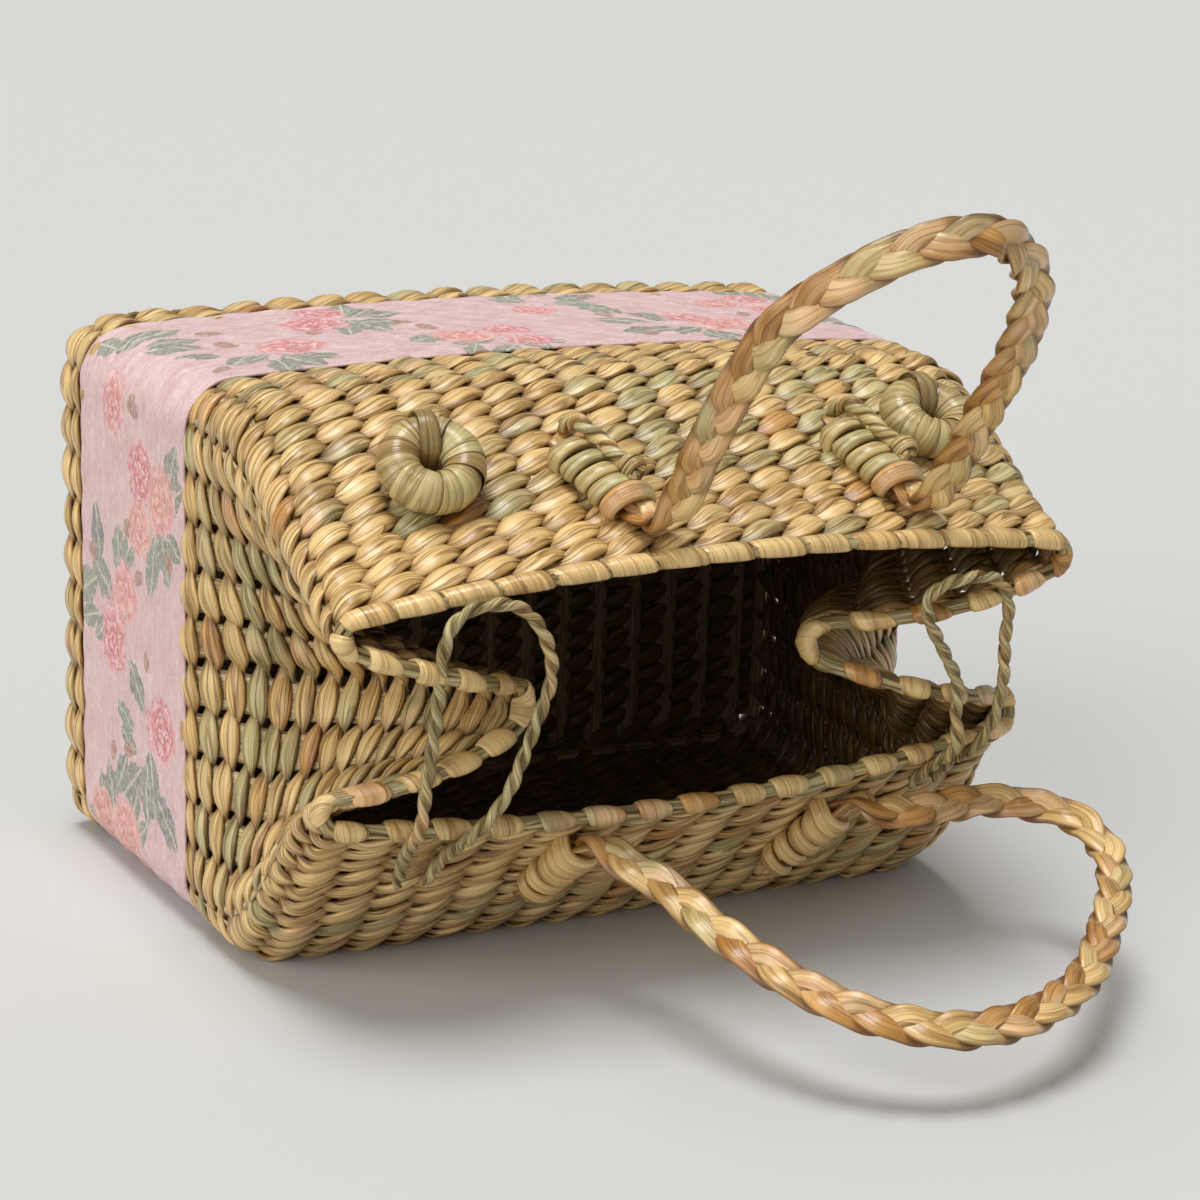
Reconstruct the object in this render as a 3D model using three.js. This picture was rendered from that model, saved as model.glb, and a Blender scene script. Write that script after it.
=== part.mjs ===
import * as THREE from 'three';

// Seagrass picnic basket, twined row by row, lying on one broad wall with its mouth towards -Y.
// Millimetres, +Z up, X along the mouth, the base at +Y. The origin is the middle of the footprint.

// Body
const bodyThickness = 250;        // between the broad walls, the height of the lying basket
const baseHalfLength = 192;
const mouthHalfLength = 170;
const rowPitch = 11.4;            // one twined row
const rowCount = 27;
const rimSeat = 1.2;              // from the last row to the rim binding, which is deeper than the row
const rimHeight = 7.6;
const rimStart = (rowCount + 1) * rowPitch + rimSeat;
const wallLength = rimStart + rimHeight;   // measured along the wall from base to mouth
const wallThickness = 5;
const touchGap = 0.3;             // kept between pieces that touch
const baseCornerRadius = 24;
const mouthCornerRadius = 9;
const foldTipRadius = 8;
const cornerPressing = 0.6;       // share of the wall's thickness lost where the mouth's corners are creased

// Mouth, pressed together at the ends: heights are from the middle of the thickness
const leanReach = 129;            // the broad walls lean together over this much of the wall
const leanStart = wallLength - leanReach;
const leanEase = 0.3;             // share of the lean that eases in and out
const upperLeftCorner = 60;
const upperRightCorner = 67;
const lowerLeftCorner = -36;
const lowerRightCorner = -29;
const upperMouthCrown = 7;        // how far each broad wall bows out at the middle of the mouth
const lowerMouthCrown = 9;
const topSag = 5;                 // crown of the whole upper wall
const foldRush = 0.5;             // how much faster than evenly the fold begins
const leftFoldDepth = 88;         // how far each end wall folds in at the mouth
const rightFoldDepth = 106;
const shortestTipReach = 6;

// Base and trims
const edgeRowThickness = 7;
const baseMatThickness = 5.5;
const paperStart = 26.5;          // printed paper band, along the wall from the base
const paperWidth = 126;
const paperEnd = paperStart + paperWidth;
const foldAfterPaper = 1.5;
const foldStart = paperEnd + foldAfterPaper;   // along the wall, where the end walls start to fold in
const paperThickness = 0.6;
const rimProud = 1;               // the rim binding stands out of the wall on the outside
const rimThickness = 6.5;

// Braided handles
const braidWidth = 16;
const braidThickness = 9;
const tailLift = 7;               // from the wall's face to the middle of the braid
const tailLength = 52;
const braidSides = 8;
const kneeClearance = 0.9;        // between a handle's round foot and its tail
const upperReach = 195;           // how far each handle's arch stands from its hinge line
const lowerReach = 165;
const upperFeet = { left: -30, right: 98, fromMouth: 17 };
const lowerFeet = { left: -46, right: 88, leftFromMouth: 12, rightFromMouth: 24 };
const upperHandle = {
  side: 'upper', elevation: 45, reach: upperReach,
  left: { x: upperFeet.left, along: wallLength - upperFeet.fromMouth },
  right: { x: upperFeet.right, along: wallLength - upperFeet.fromMouth },
  leftTailX: upperFeet.left - 22, rightTailX: upperFeet.right - 20,
  route: [[0, 0], [4, 19], [-1, 54], [-4, 83], [-6, 114], [-5, 141], [3, 160], [15, 175], [28, 188], [44, 195],
    [64, 195], [84, 180], [98, 160], [109, 132], [116, 104], [121, 74], [126, 48], [129, 22], [129, 0]],
};
const lowerHandle = {
  side: 'lower', elevation: -13, reach: lowerReach,
  left: { x: lowerFeet.left, along: wallLength - lowerFeet.leftFromMouth },
  right: { x: lowerFeet.right, along: wallLength - lowerFeet.rightFromMouth },
  leftTailX: lowerFeet.left - 14, rightTailX: lowerFeet.right - 26,
  route: [[0, 0], [3, 18], [10, 36], [13, 63], [18, 90], [27, 118], [38, 138], [53, 152], [70, 162], [93, 165],
    [119, 161], [152, 146], [183, 120], [211, 92], [228, 63], [229, 38], [214, 23], [193, 15], [172, 15],
    [154, 15], [141, 10], [136, 0]],
};

// Lashings of flat strip round each handle tail
const lashingTurns = 5;
const lashingPitch = 8.2;
const lashingWidth = 6.2;
const lashingThickness = 1.5;
const lashingSteps = 14;
const lashingStart = 10;          // from the hinge back along the tail

// Twisted ties beside the upper lashings
const tieDiameter = 5.5;
const upperTies = [
  { name: 'upper_tie_left', from: { x: upperFeet.left - 3, along: wallLength - 66 },
    to: { x: upperFeet.left + 8, along: wallLength - 36 } },
  { name: 'upper_tie_right', from: { x: upperFeet.right - 1, along: wallLength - 68 },
    to: { x: upperFeet.right + 11, along: wallLength - 40 } },
];

// Ring toggles, each a core wound with wide strip
const ringRadius = 14;
const ringTubeRadius = 9;
const ringStrip = 0.9;
const ringCoreRadius = 7.1;
const ringTurns = 12;
const ringSteps = 10;
const ringTilt = 12;              // degrees, the edge nearest the base lifted
const stripHalfAngle = 12;
const ringEndGap = 20;            // degrees round the tube, between the strip's two ends
const leftToggleSide = 82;        // from the upper handle's nearer foot
const rightToggleSide = 29;
const toggles = [
  { side: 'left', x: upperFeet.left - leftToggleSide, along: wallLength - 66 },
  { side: 'right', x: upperFeet.right + rightToggleSide, along: wallLength - 72 },
];
const toggleTieDiameter = 2.4;

// Closure loops of twisted cord: a route in [across, up] from the first point of the standing part
const cordDiameter = 6;
const cordSides = 8;
const leftLoopInset = 51;         // from each end of the mouth
const rightLoopInset = 43;
const leftLoopReach = 106;        // how far each loop stands above its foot
const rightLoopReach = 89;
const leftLoopFoot = { x: leftLoopInset + 3 - mouthHalfLength, out: wallLength - 25,
  up: bodyThickness / 2 + lowerLeftCorner - 4 };
const rightLoopFoot = { x: mouthHalfLength - rightLoopInset + 4, out: wallLength - 28,
  up: bodyThickness / 2 + lowerRightCorner - 3 };
const closureLoops = [
  {
    name: 'closure_loop_left', root: { x: leftLoopInset - mouthHalfLength, along: wallLength - 49 },
    rootHalfWidth: 6, sink: 1.5, reach: leftLoopReach,
    foot: leftLoopFoot, head: { out: leftLoopFoot.out + 16, up: leftLoopFoot.up + 108 },
    route: [[-17, 9], [-16, 28], [-15, 46], [-14, 64], [-14, 82], [-10, 99], [-2, 105], [6, 106], [15, 105],
      [24, 99], [32, 86], [35, 72], [30, 50], [25, 33], [20, 19], [8, 4]],
  },
  {
    name: 'closure_loop_right', root: { x: mouthHalfLength - rightLoopInset, along: wallLength - 28 },
    rootHalfWidth: 6, sink: 1.5, reach: rightLoopReach,
    foot: rightLoopFoot, head: { out: rightLoopFoot.out + 16, up: rightLoopFoot.up + 89 },
    route: [[-8, 6], [-11, 24], [-13, 38], [-22, 53], [-34, 72], [-36, 80], [-30, 86], [-16, 89], [-5, 88],
      [2, 83], [7, 72], [8, 57], [11, 37], [10, 20], [4, 6]],
  },
];

const straw = 0xc9a878;
const paleStraw = 0xd6bb8d;
const greenStraw = 0xb9b083;
const brownStraw = 0xb98a4f;

const basket = new THREE.Group();
const halfThickness = bodyThickness / 2;
const proudOfWall = touchGap + paperThickness;
const radians = THREE.MathUtils.degToRad;
const mix = THREE.MathUtils.lerp;

function addPiece(name, geometry, color, roughness = 0.75) {
  const material = new THREE.MeshStandardMaterial({ color, roughness, metalness: 0 });
  const mesh = new THREE.Mesh(geometry, material);
  mesh.name = name;
  basket.add(mesh);
  return mesh;
}

// A closed solid from rings of points: a tube with flat ends, or a loop that meets itself
function solidFromRings(rings, closed = false) {
  const sides = rings[0].length;
  const vertices = rings.flat();
  const triangles = [];
  const spans = closed ? rings.length : rings.length - 1;
  for (let i = 0; i < spans; i++) {
    const next = (i + 1) % rings.length;
    for (let j = 0; j < sides; j++) {
      const side = (j + 1) % sides;
      const [a, b, c, d] = [i * sides + j, i * sides + side, next * sides + side, next * sides + j];
      // The last side is cut the other way, so that it matches side 1 of the neighbouring row
      if (j === sides - 1) triangles.push([a, b, d], [b, c, d]);
      else triangles.push([a, b, c], [a, c, d]);
    }
  }
  if (!closed) {
    const last = (rings.length - 1) * sides;
    for (let j = 1; j < sides - 1; j++) {
      triangles.push([0, j + 1, j], [last, last + j, last + j + 1]);
    }
  }
  const volume = triangles.reduce((sum, [a, b, c]) => {
    const normal = new THREE.Vector3().crossVectors(vertices[b], vertices[c]);
    return sum + vertices[a].dot(normal);
  }, 0);
  const facingOut = volume > 0 ? triangles : triangles.map(([a, b, c]) => [a, c, b]);
  const geometry = new THREE.BufferGeometry();
  geometry.setAttribute('position', new THREE.Float32BufferAttribute(vertices.flatMap((v) => v.toArray()), 3));
  geometry.setIndex(facingOut.flat());
  geometry.computeVertexNormals();
  return geometry;
}

// Share of the way from a start to the mouth, along the wall
function shareFrom(start, along) {
  return THREE.MathUtils.clamp((along - start) / (wallLength - start), 0, 1);
}

// One end of the outline, from the upper corner round the fold to the lower corner, as if at +X
function endStations(size, end) {
  const foldMiddle = (end.upper + end.lower) / 2;
  const tip = new THREE.Vector2(size.halfLength - end.foldDepth + foldTipRadius, foldMiddle);

  // The wall leaves each corner circle and crosses to the inner side of the fold tip's circle
  function half(sign, cornerHeight, wallAngle) {
    const centre = new THREE.Vector2(size.halfLength - size.radius, sign * (cornerHeight - foldMiddle) - size.radius);
    const toTip = new THREE.Vector2(tip.x - centre.x, -centre.y);
    const reach = Math.acos((size.radius + foldTipRadius) / toTip.length());
    const crossing = Math.atan2(toTip.y, toTip.x) + reach;
    const points = [];
    for (let i = 0; i <= 4; i++) {
      const angle = mix(wallAngle, crossing, i / 4);
      points.push([centre.x + size.radius * Math.cos(angle), centre.y + size.radius * Math.sin(angle)]);
    }
    const arc = foldTipRadius * Math.abs(crossing);
    const beyond = Math.max(shortestTipReach - arc, 0);
    const leave = [tip.x - foldTipRadius * Math.cos(crossing), -foldTipRadius * Math.sin(crossing)];
    points.push([leave[0] - beyond * Math.sin(crossing), leave[1] + beyond * Math.cos(crossing)]);
    return points.map(([x, z]) => [x, foldMiddle + sign * z]);
  }
  const upper = half(1, end.upper, end.upperAngle);
  const lower = half(-1, end.lower, end.lowerAngle);
  return [...upper, [tip.x - foldTipRadius, foldMiddle], ...lower.reverse()];
}

// The outline at a distance along the wall: 32 stations from the upper wall round by +X
function outline(along) {
  const leanShare = shareFrom(leanStart, along);
  const lean = leanEase * leanShare * leanShare * (3 - 2 * leanShare) + (1 - leanEase) * leanShare;
  const foldShare = shareFrom(foldStart, along);
  const fold = foldShare + foldRush * foldShare * (1 - foldShare);
  const size = {
    halfLength: mix(baseHalfLength, mouthHalfLength, along / wallLength),
    radius: mix(baseCornerRadius, mouthCornerRadius, lean),
  };
  const crownSpan = size.halfLength - size.radius;
  const upperCrown = topSag + upperMouthCrown * lean;
  const lowerCrown = lowerMouthCrown * lean;
  const corner = (mouthHeight) => mix(Math.sign(mouthHeight) * halfThickness, mouthHeight, lean);
  const heights = {
    upperLeft: corner(upperLeftCorner), upperRight: corner(upperRightCorner),
    lowerLeft: corner(lowerLeftCorner), lowerRight: corner(lowerRightCorner),
  };
  const upperTilt = (heights.upperRight - heights.upperLeft) / (2 * crownSpan);
  const lowerTilt = (heights.lowerRight - heights.lowerLeft) / (2 * crownSpan);
  const wallAngle = (slope) => Math.PI / 2 - Math.atan(slope);
  const right = endStations(size, {
    upper: heights.upperRight, lower: heights.lowerRight, foldDepth: rightFoldDepth * fold,
    upperAngle: wallAngle(2 * upperCrown / crownSpan - upperTilt),
    lowerAngle: wallAngle(2 * lowerCrown / crownSpan + lowerTilt),
  });
  const left = endStations(size, {
    upper: heights.upperLeft, lower: heights.lowerLeft, foldDepth: leftFoldDepth * fold,
    upperAngle: wallAngle(2 * upperCrown / crownSpan + upperTilt),
    lowerAngle: wallAngle(2 * lowerCrown / crownSpan - lowerTilt),
  }).map(([x, z]) => [-x, z]);
  const broad = (from, to, crown) => [-0.5, 0, 0.5].map((t) => {
    const share = (t + 1) / 2;
    return [mix(from[0], to[0], share), mix(from[1], to[1], share) + crown * (1 - t * t)];
  });
  return [
    ...broad(left[0], right[0], upperCrown), ...right,
    ...broad(right.at(-1), left.at(-1), -lowerCrown), ...left.reverse(),
  ];
}

// The wall's outer face: every stake keeps its length, so a point that moves in or down comes less far forward
const outlineStep = 3;
function boundary(along) {
  const steps = Math.max(1, Math.ceil(along / outlineStep));
  const step = along / steps;
  let before = outline(0);
  let out = before.map(() => 0);
  for (let i = 1; i <= steps; i++) {
    const now = outline(i * step);
    out = out.map((value, j) => {
      const moved = (now[j][0] - before[j][0]) ** 2 + (now[j][1] - before[j][1]) ** 2;
      return value + Math.sqrt(Math.max(step * step - moved, (step / 4) ** 2));
    });
    before = now;
  }
  return before.map(([x, z], j) => new THREE.Vector3(x, -out[j], z + halfThickness + proudOfWall));
}

// Stations 3 to 7, 11 to 15, 19 to 23 and 27 to 31 go round the four corners
const isCornerStation = (station) => station % 8 === 3 || station % 8 > 3;

// Outer face and outward normals of the wall at a distance from the base, and how full the weave is there
const faceCache = new Map();
function face(along) {
  if (!faceCache.has(along)) {
    const points = boundary(along);
    const back = boundary(Math.max(along - 1, 0));
    const forward = boundary(Math.max(along - 1, 0) + 2);
    const normals = points.map((point, j) => {
      const next = points[(j + 1) % points.length];
      const previous = points.at(j - 1);
      const across = new THREE.Vector3().subVectors(next, previous);
      const down = new THREE.Vector3().subVectors(forward[j], back[j]);
      return down.cross(across).normalize();
    });
    const pressed = 1 - cornerPressing * shareFrom(leanStart, along);
    const fullness = points.map((point, j) => (isCornerStation(j) ? pressed : 1));
    faceCache.set(along, { points, normals, fullness });
  }
  return faceCache.get(along);
}

// A ring of wall between two distances, from one depth below the outer face to another.
// Its far edges stop short of the next ring's near edges by the touch gap, on both faces.
function wallRing(start, end, outside, inside) {
  const near = face(start);
  const far = face(end);
  const offset = (side, j, depth) => side.points[j].clone()
    .addScaledVector(side.normals[j], depth < 0 ? depth * side.fullness[j] : depth);
  const short = (from, to) => to.clone().addScaledVector(from.clone().sub(to).normalize(), touchGap);
  return near.points.map((point, j) => {
    const [outerNear, innerNear] = [offset(near, j, outside), offset(near, j, -inside)];
    const [outerFar, innerFar] = [offset(far, j, outside), offset(far, j, -inside)];
    return [outerNear, short(outerNear, outerFar), short(innerNear, innerFar), innerNear];
  });
}

// A spot on a broad wall, with the wall's outward normal and its direction towards the mouth
function wallSpot(side, x, along) {
  const stations = side === 'upper' ? [31, 0, 1, 2, 3] : [19, 18, 17, 16, 15];
  const at = (distance) => {
    const { points } = face(distance);
    const right = stations.findIndex((station, i) => i > 0 && points[station].x >= x);
    const from = points[stations[right - 1]];
    const to = points[stations[right]];
    return { point: from.clone().lerp(to, (x - from.x) / (to.x - from.x)), across: to.clone().sub(from) };
  };
  const here = at(along);
  const forward = at(along + 2).point.sub(at(along - 2).point).normalize();
  const normal = here.across.cross(forward).normalize();
  if ((normal.z > 0) !== (side === 'upper')) normal.negate();
  return { point: here.point, normal, forward };
}

function lifted(side, spot, height) {
  const { point, normal } = wallSpot(side, spot.x, spot.along);
  return point.clone().addScaledVector(normal, height);
}

// Base: the woven mat, and the thick row that turns the stakes up round it
const edgeRowEnd = rowPitch;
addPiece('base_edge_row', solidFromRings(wallRing(0, edgeRowEnd, proudOfWall,
  edgeRowThickness - proudOfWall), true), greenStraw);
const matInset = edgeRowThickness - proudOfWall + touchGap;
const matEdge = face(baseMatThickness);
const matShape = new THREE.Shape(matEdge.points.map((point, j) => {
  const inner = point.clone().addScaledVector(matEdge.normals[j], -matInset);
  return new THREE.Vector2(inner.x, inner.z);
}));
const matGeometry = new THREE.ExtrudeGeometry(matShape, { depth: baseMatThickness, bevelEnabled: false });
addPiece('base_mat', matGeometry, straw).rotation.x = Math.PI / 2;

// Wall: one node for each twined row, then the rim binding and the paper band
for (let row = 1; row <= rowCount; row++) {
  const start = row * rowPitch;
  const ring = wallRing(start, start + rowPitch, 0, wallThickness);
  const color = row % 4 === 0 ? greenStraw : straw;
  addPiece(`weave_row_${String(row).padStart(2, '0')}`, solidFromRings(ring, true), color);
}
addPiece('rim_binding', solidFromRings(wallRing(rimStart, wallLength, rimProud,
  rimThickness - rimProud), true), greenStraw);
addPiece('paper_band', solidFromRings(wallRing(paperStart, paperEnd, proudOfWall, -touchGap), true), 0xe9bcc0, 0.6);

// A tube along points, with its own frame at each point: half sizes across and out
function sweep(stops, sides) {
  return stops.map(({ centre, across, out, halfWidth, halfHeight }) => {
    const ring = [];
    for (let i = 0; i < sides; i++) {
      const angle = (i + 0.5) * 2 * Math.PI / sides;
      ring.push(centre.clone().addScaledVector(across, halfWidth * Math.cos(angle))
        .addScaledVector(out, halfHeight * Math.sin(angle)));
    }
    return ring;
  });
}

// The middle line of a handle's tail, from near the hinge back along the wall
function tailStops(handle, foot, endX) {
  const kneeRoom = braidThickness / 2 + kneeClearance;
  const stops = [];
  const pieces = 4;
  for (let i = 0; i <= pieces; i++) {
    const back = mix(kneeRoom, kneeRoom + tailLength, i / pieces);
    const spot = { x: mix(foot.x, endX, back / (kneeRoom + tailLength)), along: foot.along - back };
    const { normal } = wallSpot(handle.side, spot.x, spot.along);
    stops.push({ centre: lifted(handle.side, spot, tailLift), out: normal });
  }
  stops.forEach((stop, i) => {
    const ahead = stops[Math.min(i + 1, pieces)].centre;
    const behind = stops[Math.max(i - 1, 0)].centre;
    stop.direction = ahead.clone().sub(behind).normalize();
    stop.across = stop.direction.clone().cross(stop.out).normalize();
    stop.out = stop.across.clone().cross(stop.direction).normalize();
    stop.halfWidth = braidWidth / 2;
    stop.halfHeight = braidThickness / 2;
  });
  return stops;
}

// Where a distance along the tail falls between its stops
function tailPoint(stops, distance) {
  let left = distance;
  for (let i = 0; i < stops.length - 1; i++) {
    const span = stops[i + 1].centre.distanceTo(stops[i].centre);
    if (left <= span || i === stops.length - 2) {
      const share = left / span;
      const blend = (key) => stops[i][key].clone().lerp(stops[i + 1][key], share);
      return { centre: blend('centre'), across: blend('across').normalize(), out: blend('out').normalize(),
        direction: blend('direction').normalize() };
    }
    left -= span;
  }
  return null;
}

const leastGaps = [];
function leastGap(centres, apart, thickness) {
  let least = Infinity;
  centres.forEach((point, i) => {
    for (let j = i + apart; j < centres.length; j++) least = Math.min(least, point.distanceTo(centres[j]));
  });
  return least - thickness;
}

// One unbroken strip wound round the tail, its two ends going straight down to the wall
function lashing(stops) {
  const rise = braidThickness / 2 + touchGap + lashingThickness / 2;
  const reach = braidWidth / 2 + touchGap + lashingThickness / 2;
  const halfTurns = 2 * lashingTurns - 1;
  const steps = Math.round(lashingSteps * halfTurns / 2);
  const rings = [];
  const centres = [];
  function ringAt(distance, angle, drop) {
    const frame = tailPoint(stops, distance);
    const cosine = Math.cos(angle);
    const sine = Math.sin(angle);
    const centre = frame.centre.clone().addScaledVector(frame.across, reach * cosine)
      .addScaledVector(frame.out, rise * sine - drop);
    const outward = frame.across.clone().multiplyScalar(cosine / reach)
      .addScaledVector(frame.out, sine / rise).normalize();
    centres.push(centre);
    const along = frame.direction;
    rings.push([[-1, -1], [1, -1], [1, 1], [-1, 1]].map(([a, b]) => centre.clone()
      .addScaledVector(along, a * lashingWidth / 2).addScaledVector(outward, b * lashingThickness / 2)));
  }
  const down = tailLift - touchGap * 2;
  ringAt(lashingStart, 0, down);
  for (let i = 0; i <= steps; i++) {
    const share = i / steps;
    ringAt(lashingStart + lashingPitch * halfTurns / 2 * share, Math.PI * halfTurns * share, 0);
  }
  ringAt(lashingStart + lashingPitch * halfTurns / 2, Math.PI * halfTurns, down);
  leastGaps.push(leastGap(centres, Math.round(lashingSteps * 0.8), lashingWidth));
  return solidFromRings(rings);
}

// Hinge line through a handle's two feet, and the direction in which the arch stands
function hingeOf(handle) {
  const left = lifted(handle.side, handle.left, tailLift);
  const right = lifted(handle.side, handle.right, tailLift);
  const axis = right.clone().sub(left).normalize();
  const angle = radians(handle.elevation);
  const stand = new THREE.Vector3(0, -Math.cos(angle), Math.sin(angle));
  stand.addScaledVector(axis, -stand.dot(axis)).normalize();
  return { left, right, axis, stand, face: axis.clone().cross(stand) };
}

// A route drawn in millimetres, brought to the reach of the piece that follows it
function routeToReach({ route, reach }) {
  const scale = reach / Math.max(...route.map(([, up]) => up));
  return route.map(([across, up]) => [across * scale, up * scale]);
}

// The arch: a flat braid along its route, with a rounded foot at each end on the hinge line
function archStops(handle, hinge) {
  const chord = hinge.left.distanceTo(hinge.right);
  const flat = routeToReach(handle).map(([u, v], i) => {
    const last = i === handle.route.length - 1;
    return new THREE.Vector3(last ? chord : u, v, 0);
  });
  const curve = new THREE.CatmullRomCurve3(flat, false, 'centripetal');
  const count = 40;
  const place = (point) => hinge.left.clone().addScaledVector(hinge.axis, point.x)
    .addScaledVector(hinge.stand, point.y);
  const turn = (vector) => hinge.axis.clone().multiplyScalar(vector.x).addScaledVector(hinge.stand, vector.y);
  const stops = [];
  const addStop = (point, tangent, share) => stops.push({
    centre: place(point), across: turn(new THREE.Vector3(-tangent.y, tangent.x, 0)), out: hinge.face,
    halfWidth: braidWidth / 2 * Math.sqrt(share), halfHeight: braidThickness / 2 * share,
  });
  const footReach = braidThickness / 2;
  const first = curve.getTangentAt(0);
  const final = curve.getTangentAt(1);
  for (const turnDown of [75, 40]) {
    const back = footReach * Math.sin(radians(turnDown));
    addStop(flat[0].clone().addScaledVector(first, -back), first, Math.cos(radians(turnDown)));
  }
  for (let i = 0; i <= count; i++) addStop(curve.getPointAt(i / count), curve.getTangentAt(i / count), 1);
  for (const turnDown of [40, 75]) {
    const on = footReach * Math.sin(radians(turnDown));
    addStop(flat.at(-1).clone().addScaledVector(final, on), final, Math.cos(radians(turnDown)));
  }
  return stops;
}

for (const [level, handle] of [['upper', upperHandle], ['lower', lowerHandle]]) {
  const hinge = hingeOf(handle);
  addPiece(`${level}_handle`, solidFromRings(sweep(archStops(handle, hinge), braidSides)), brownStraw, 0.6);
  for (const end of ['left', 'right']) {
    const stops = tailStops(handle, handle[end], handle[`${end}TailX`]);
    addPiece(`${level}_handle_tail_${end}`, solidFromRings(sweep(stops, braidSides)), brownStraw, 0.6);
    addPiece(`${level}_lashing_${end}`, lashing(stops), greenStraw, 0.6);
  }
  handle.hinge = hinge;
}

// Twisted ties that lie on the wall beside the upper lashings
for (const tie of upperTies) {
  const lift = tieDiameter / 2 + touchGap;
  const stops = [0, 0.5, 1].map((share) => {
    const spot = { x: mix(tie.from.x, tie.to.x, share), along: mix(tie.from.along, tie.to.along, share) };
    const { normal, forward } = wallSpot('upper', spot.x, spot.along);
    return { centre: lifted('upper', spot, lift), out: normal, across: forward.clone().cross(normal).normalize(),
      halfWidth: tieDiameter / 2, halfHeight: tieDiameter / 2 };
  });
  addPiece(tie.name, solidFromRings(sweep(stops, 6)), paleStraw);
}

// A point round a ring: its angle round the ring, its angle round the tube and its distance from the tube's middle
function ringPoint(frame, around, tube, distance) {
  const radius = ringRadius + distance * Math.cos(tube);
  return frame.centre.clone().addScaledVector(frame.across, radius * Math.cos(around))
    .addScaledVector(frame.back, radius * Math.sin(around))
    .addScaledVector(frame.axis, distance * Math.sin(tube));
}

for (const toggle of toggles) {
  const spot = wallSpot('upper', toggle.x, toggle.along);
  const tilt = radians(ringTilt);
  const across = spot.normal.clone().cross(spot.forward).normalize();
  const back = spot.forward.clone().negate().applyAxisAngle(across, Math.sign(spot.forward.clone().negate()
    .applyAxisAngle(across, tilt).dot(spot.normal)) * tilt);
  const axis = across.clone().cross(back).normalize();
  if (axis.dot(spot.normal) < 0) axis.negate();
  const lift = ringRadius * Math.sin(tilt) + ringTubeRadius + 2 * touchGap;
  const frame = { centre: spot.point.clone().addScaledVector(spot.normal, lift), across, back, axis };

  const coreRings = [];
  for (let i = 0; i < 16; i++) {
    const around = i * 2 * Math.PI / 16;
    coreRings.push([0, 1, 2, 3, 4, 5].map((j) => ringPoint(frame, around, j * Math.PI / 3, ringCoreRadius)));
  }
  addPiece(`ring_toggle_${toggle.side}`, solidFromRings(coreRings, true), straw);

  const windingTurns = ringTurns - ringEndGap / 360;
  const windingSteps = Math.round(windingTurns * ringSteps);
  const strip = [];
  const centres = [];
  for (let i = 0; i <= windingSteps; i++) {
    const turns = windingTurns * i / windingSteps;
    const tube = -Math.PI / 2 + turns * 2 * Math.PI;
    const around = turns * 2 * Math.PI / ringTurns;
    const edge = radians(stripHalfAngle);
    const inner = ringTubeRadius - ringStrip;
    strip.push([[-edge, inner], [edge, inner], [edge, ringTubeRadius], [-edge, ringTubeRadius]]
      .map(([angle, distance]) => ringPoint(frame, around + angle, tube, distance)));
    centres.push(strip.at(-1)[1]);
    centres.push(strip.at(-1)[0]);
  }
  addPiece(`ring_winding_${toggle.side}`, solidFromRings(strip), paleStraw, 0.5);
  const insideGap = (2 * Math.PI / ringTurns - 2 * radians(stripHalfAngle)) * (ringRadius - ringTubeRadius);
  leastGaps.push(insideGap);

  // The tie that holds the ring: up through the hole, over the tube and down to the wall
  const clear = ringTubeRadius + touchGap + toggleTieDiameter / 2;
  const tieAcross = frame.across;
  const tieBack = back;
  const tubeMiddle = ringPoint(frame, Math.PI / 2, 0, 0);
  const stops = [];
  const addTieStop = (angle, reachDown) => {
    const direction = tieBack.clone().multiplyScalar(-Math.cos(angle)).addScaledVector(axis, Math.sin(angle));
    const centre = tubeMiddle.clone().addScaledVector(direction, clear).addScaledVector(axis, -reachDown);
    stops.push({ centre, across: tieAcross, out: direction, halfWidth: toggleTieDiameter / 2,
      halfHeight: toggleTieDiameter / 2 });
  };
  const heightOver = (point) => point.clone().sub(spot.point).dot(spot.normal);
  const sideClear = 1.2;
  const legAt = (sign) => {
    const foot = tubeMiddle.clone().addScaledVector(tieBack, sign * clear);
    return (heightOver(foot) - sideClear) / axis.dot(spot.normal);
  };
  addTieStop(0, legAt(-1));
  for (let i = 0; i <= 6; i++) addTieStop(i * Math.PI / 6, 0);
  addTieStop(Math.PI, legAt(1));
  addPiece(`toggle_tie_${toggle.side}`, solidFromRings(sweep(stops, 5)), brownStraw);
}

// A closure loop: from its root on the lower wall, over the rim, round its standing route and back
function closureRoute(loop) {
  const lift = cordDiameter / 2 + touchGap;
  const rootSpot = (offset) => {
    const { point, normal } = wallSpot('lower', loop.root.x + offset, loop.root.along);
    return point.clone().addScaledVector(normal, lift + loop.sink);
  };
  const length = Math.hypot(loop.head.out - loop.foot.out, loop.head.up - loop.foot.up);
  const standing = routeToReach(loop).map(([across, up]) => new THREE.Vector3(
    loop.foot.x + across,
    -mix(loop.foot.out, loop.head.out, up / length),
    mix(loop.foot.up, loop.head.up, up / length),
  ));
  const under = (offset, target) => {
    const { point, normal } = wallSpot('lower', mix(loop.root.x + offset, target.x, 0.55), mix(loop.root.along,
      wallLength, 0.6));
    return point.clone().addScaledVector(normal, lift + 1);
  };
  const left = rootSpot(-loop.rootHalfWidth);
  const right = rootSpot(loop.rootHalfWidth);
  return [left, under(-loop.rootHalfWidth, standing[0]), ...standing,
    under(loop.rootHalfWidth, standing.at(-1)), right];
}

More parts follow.
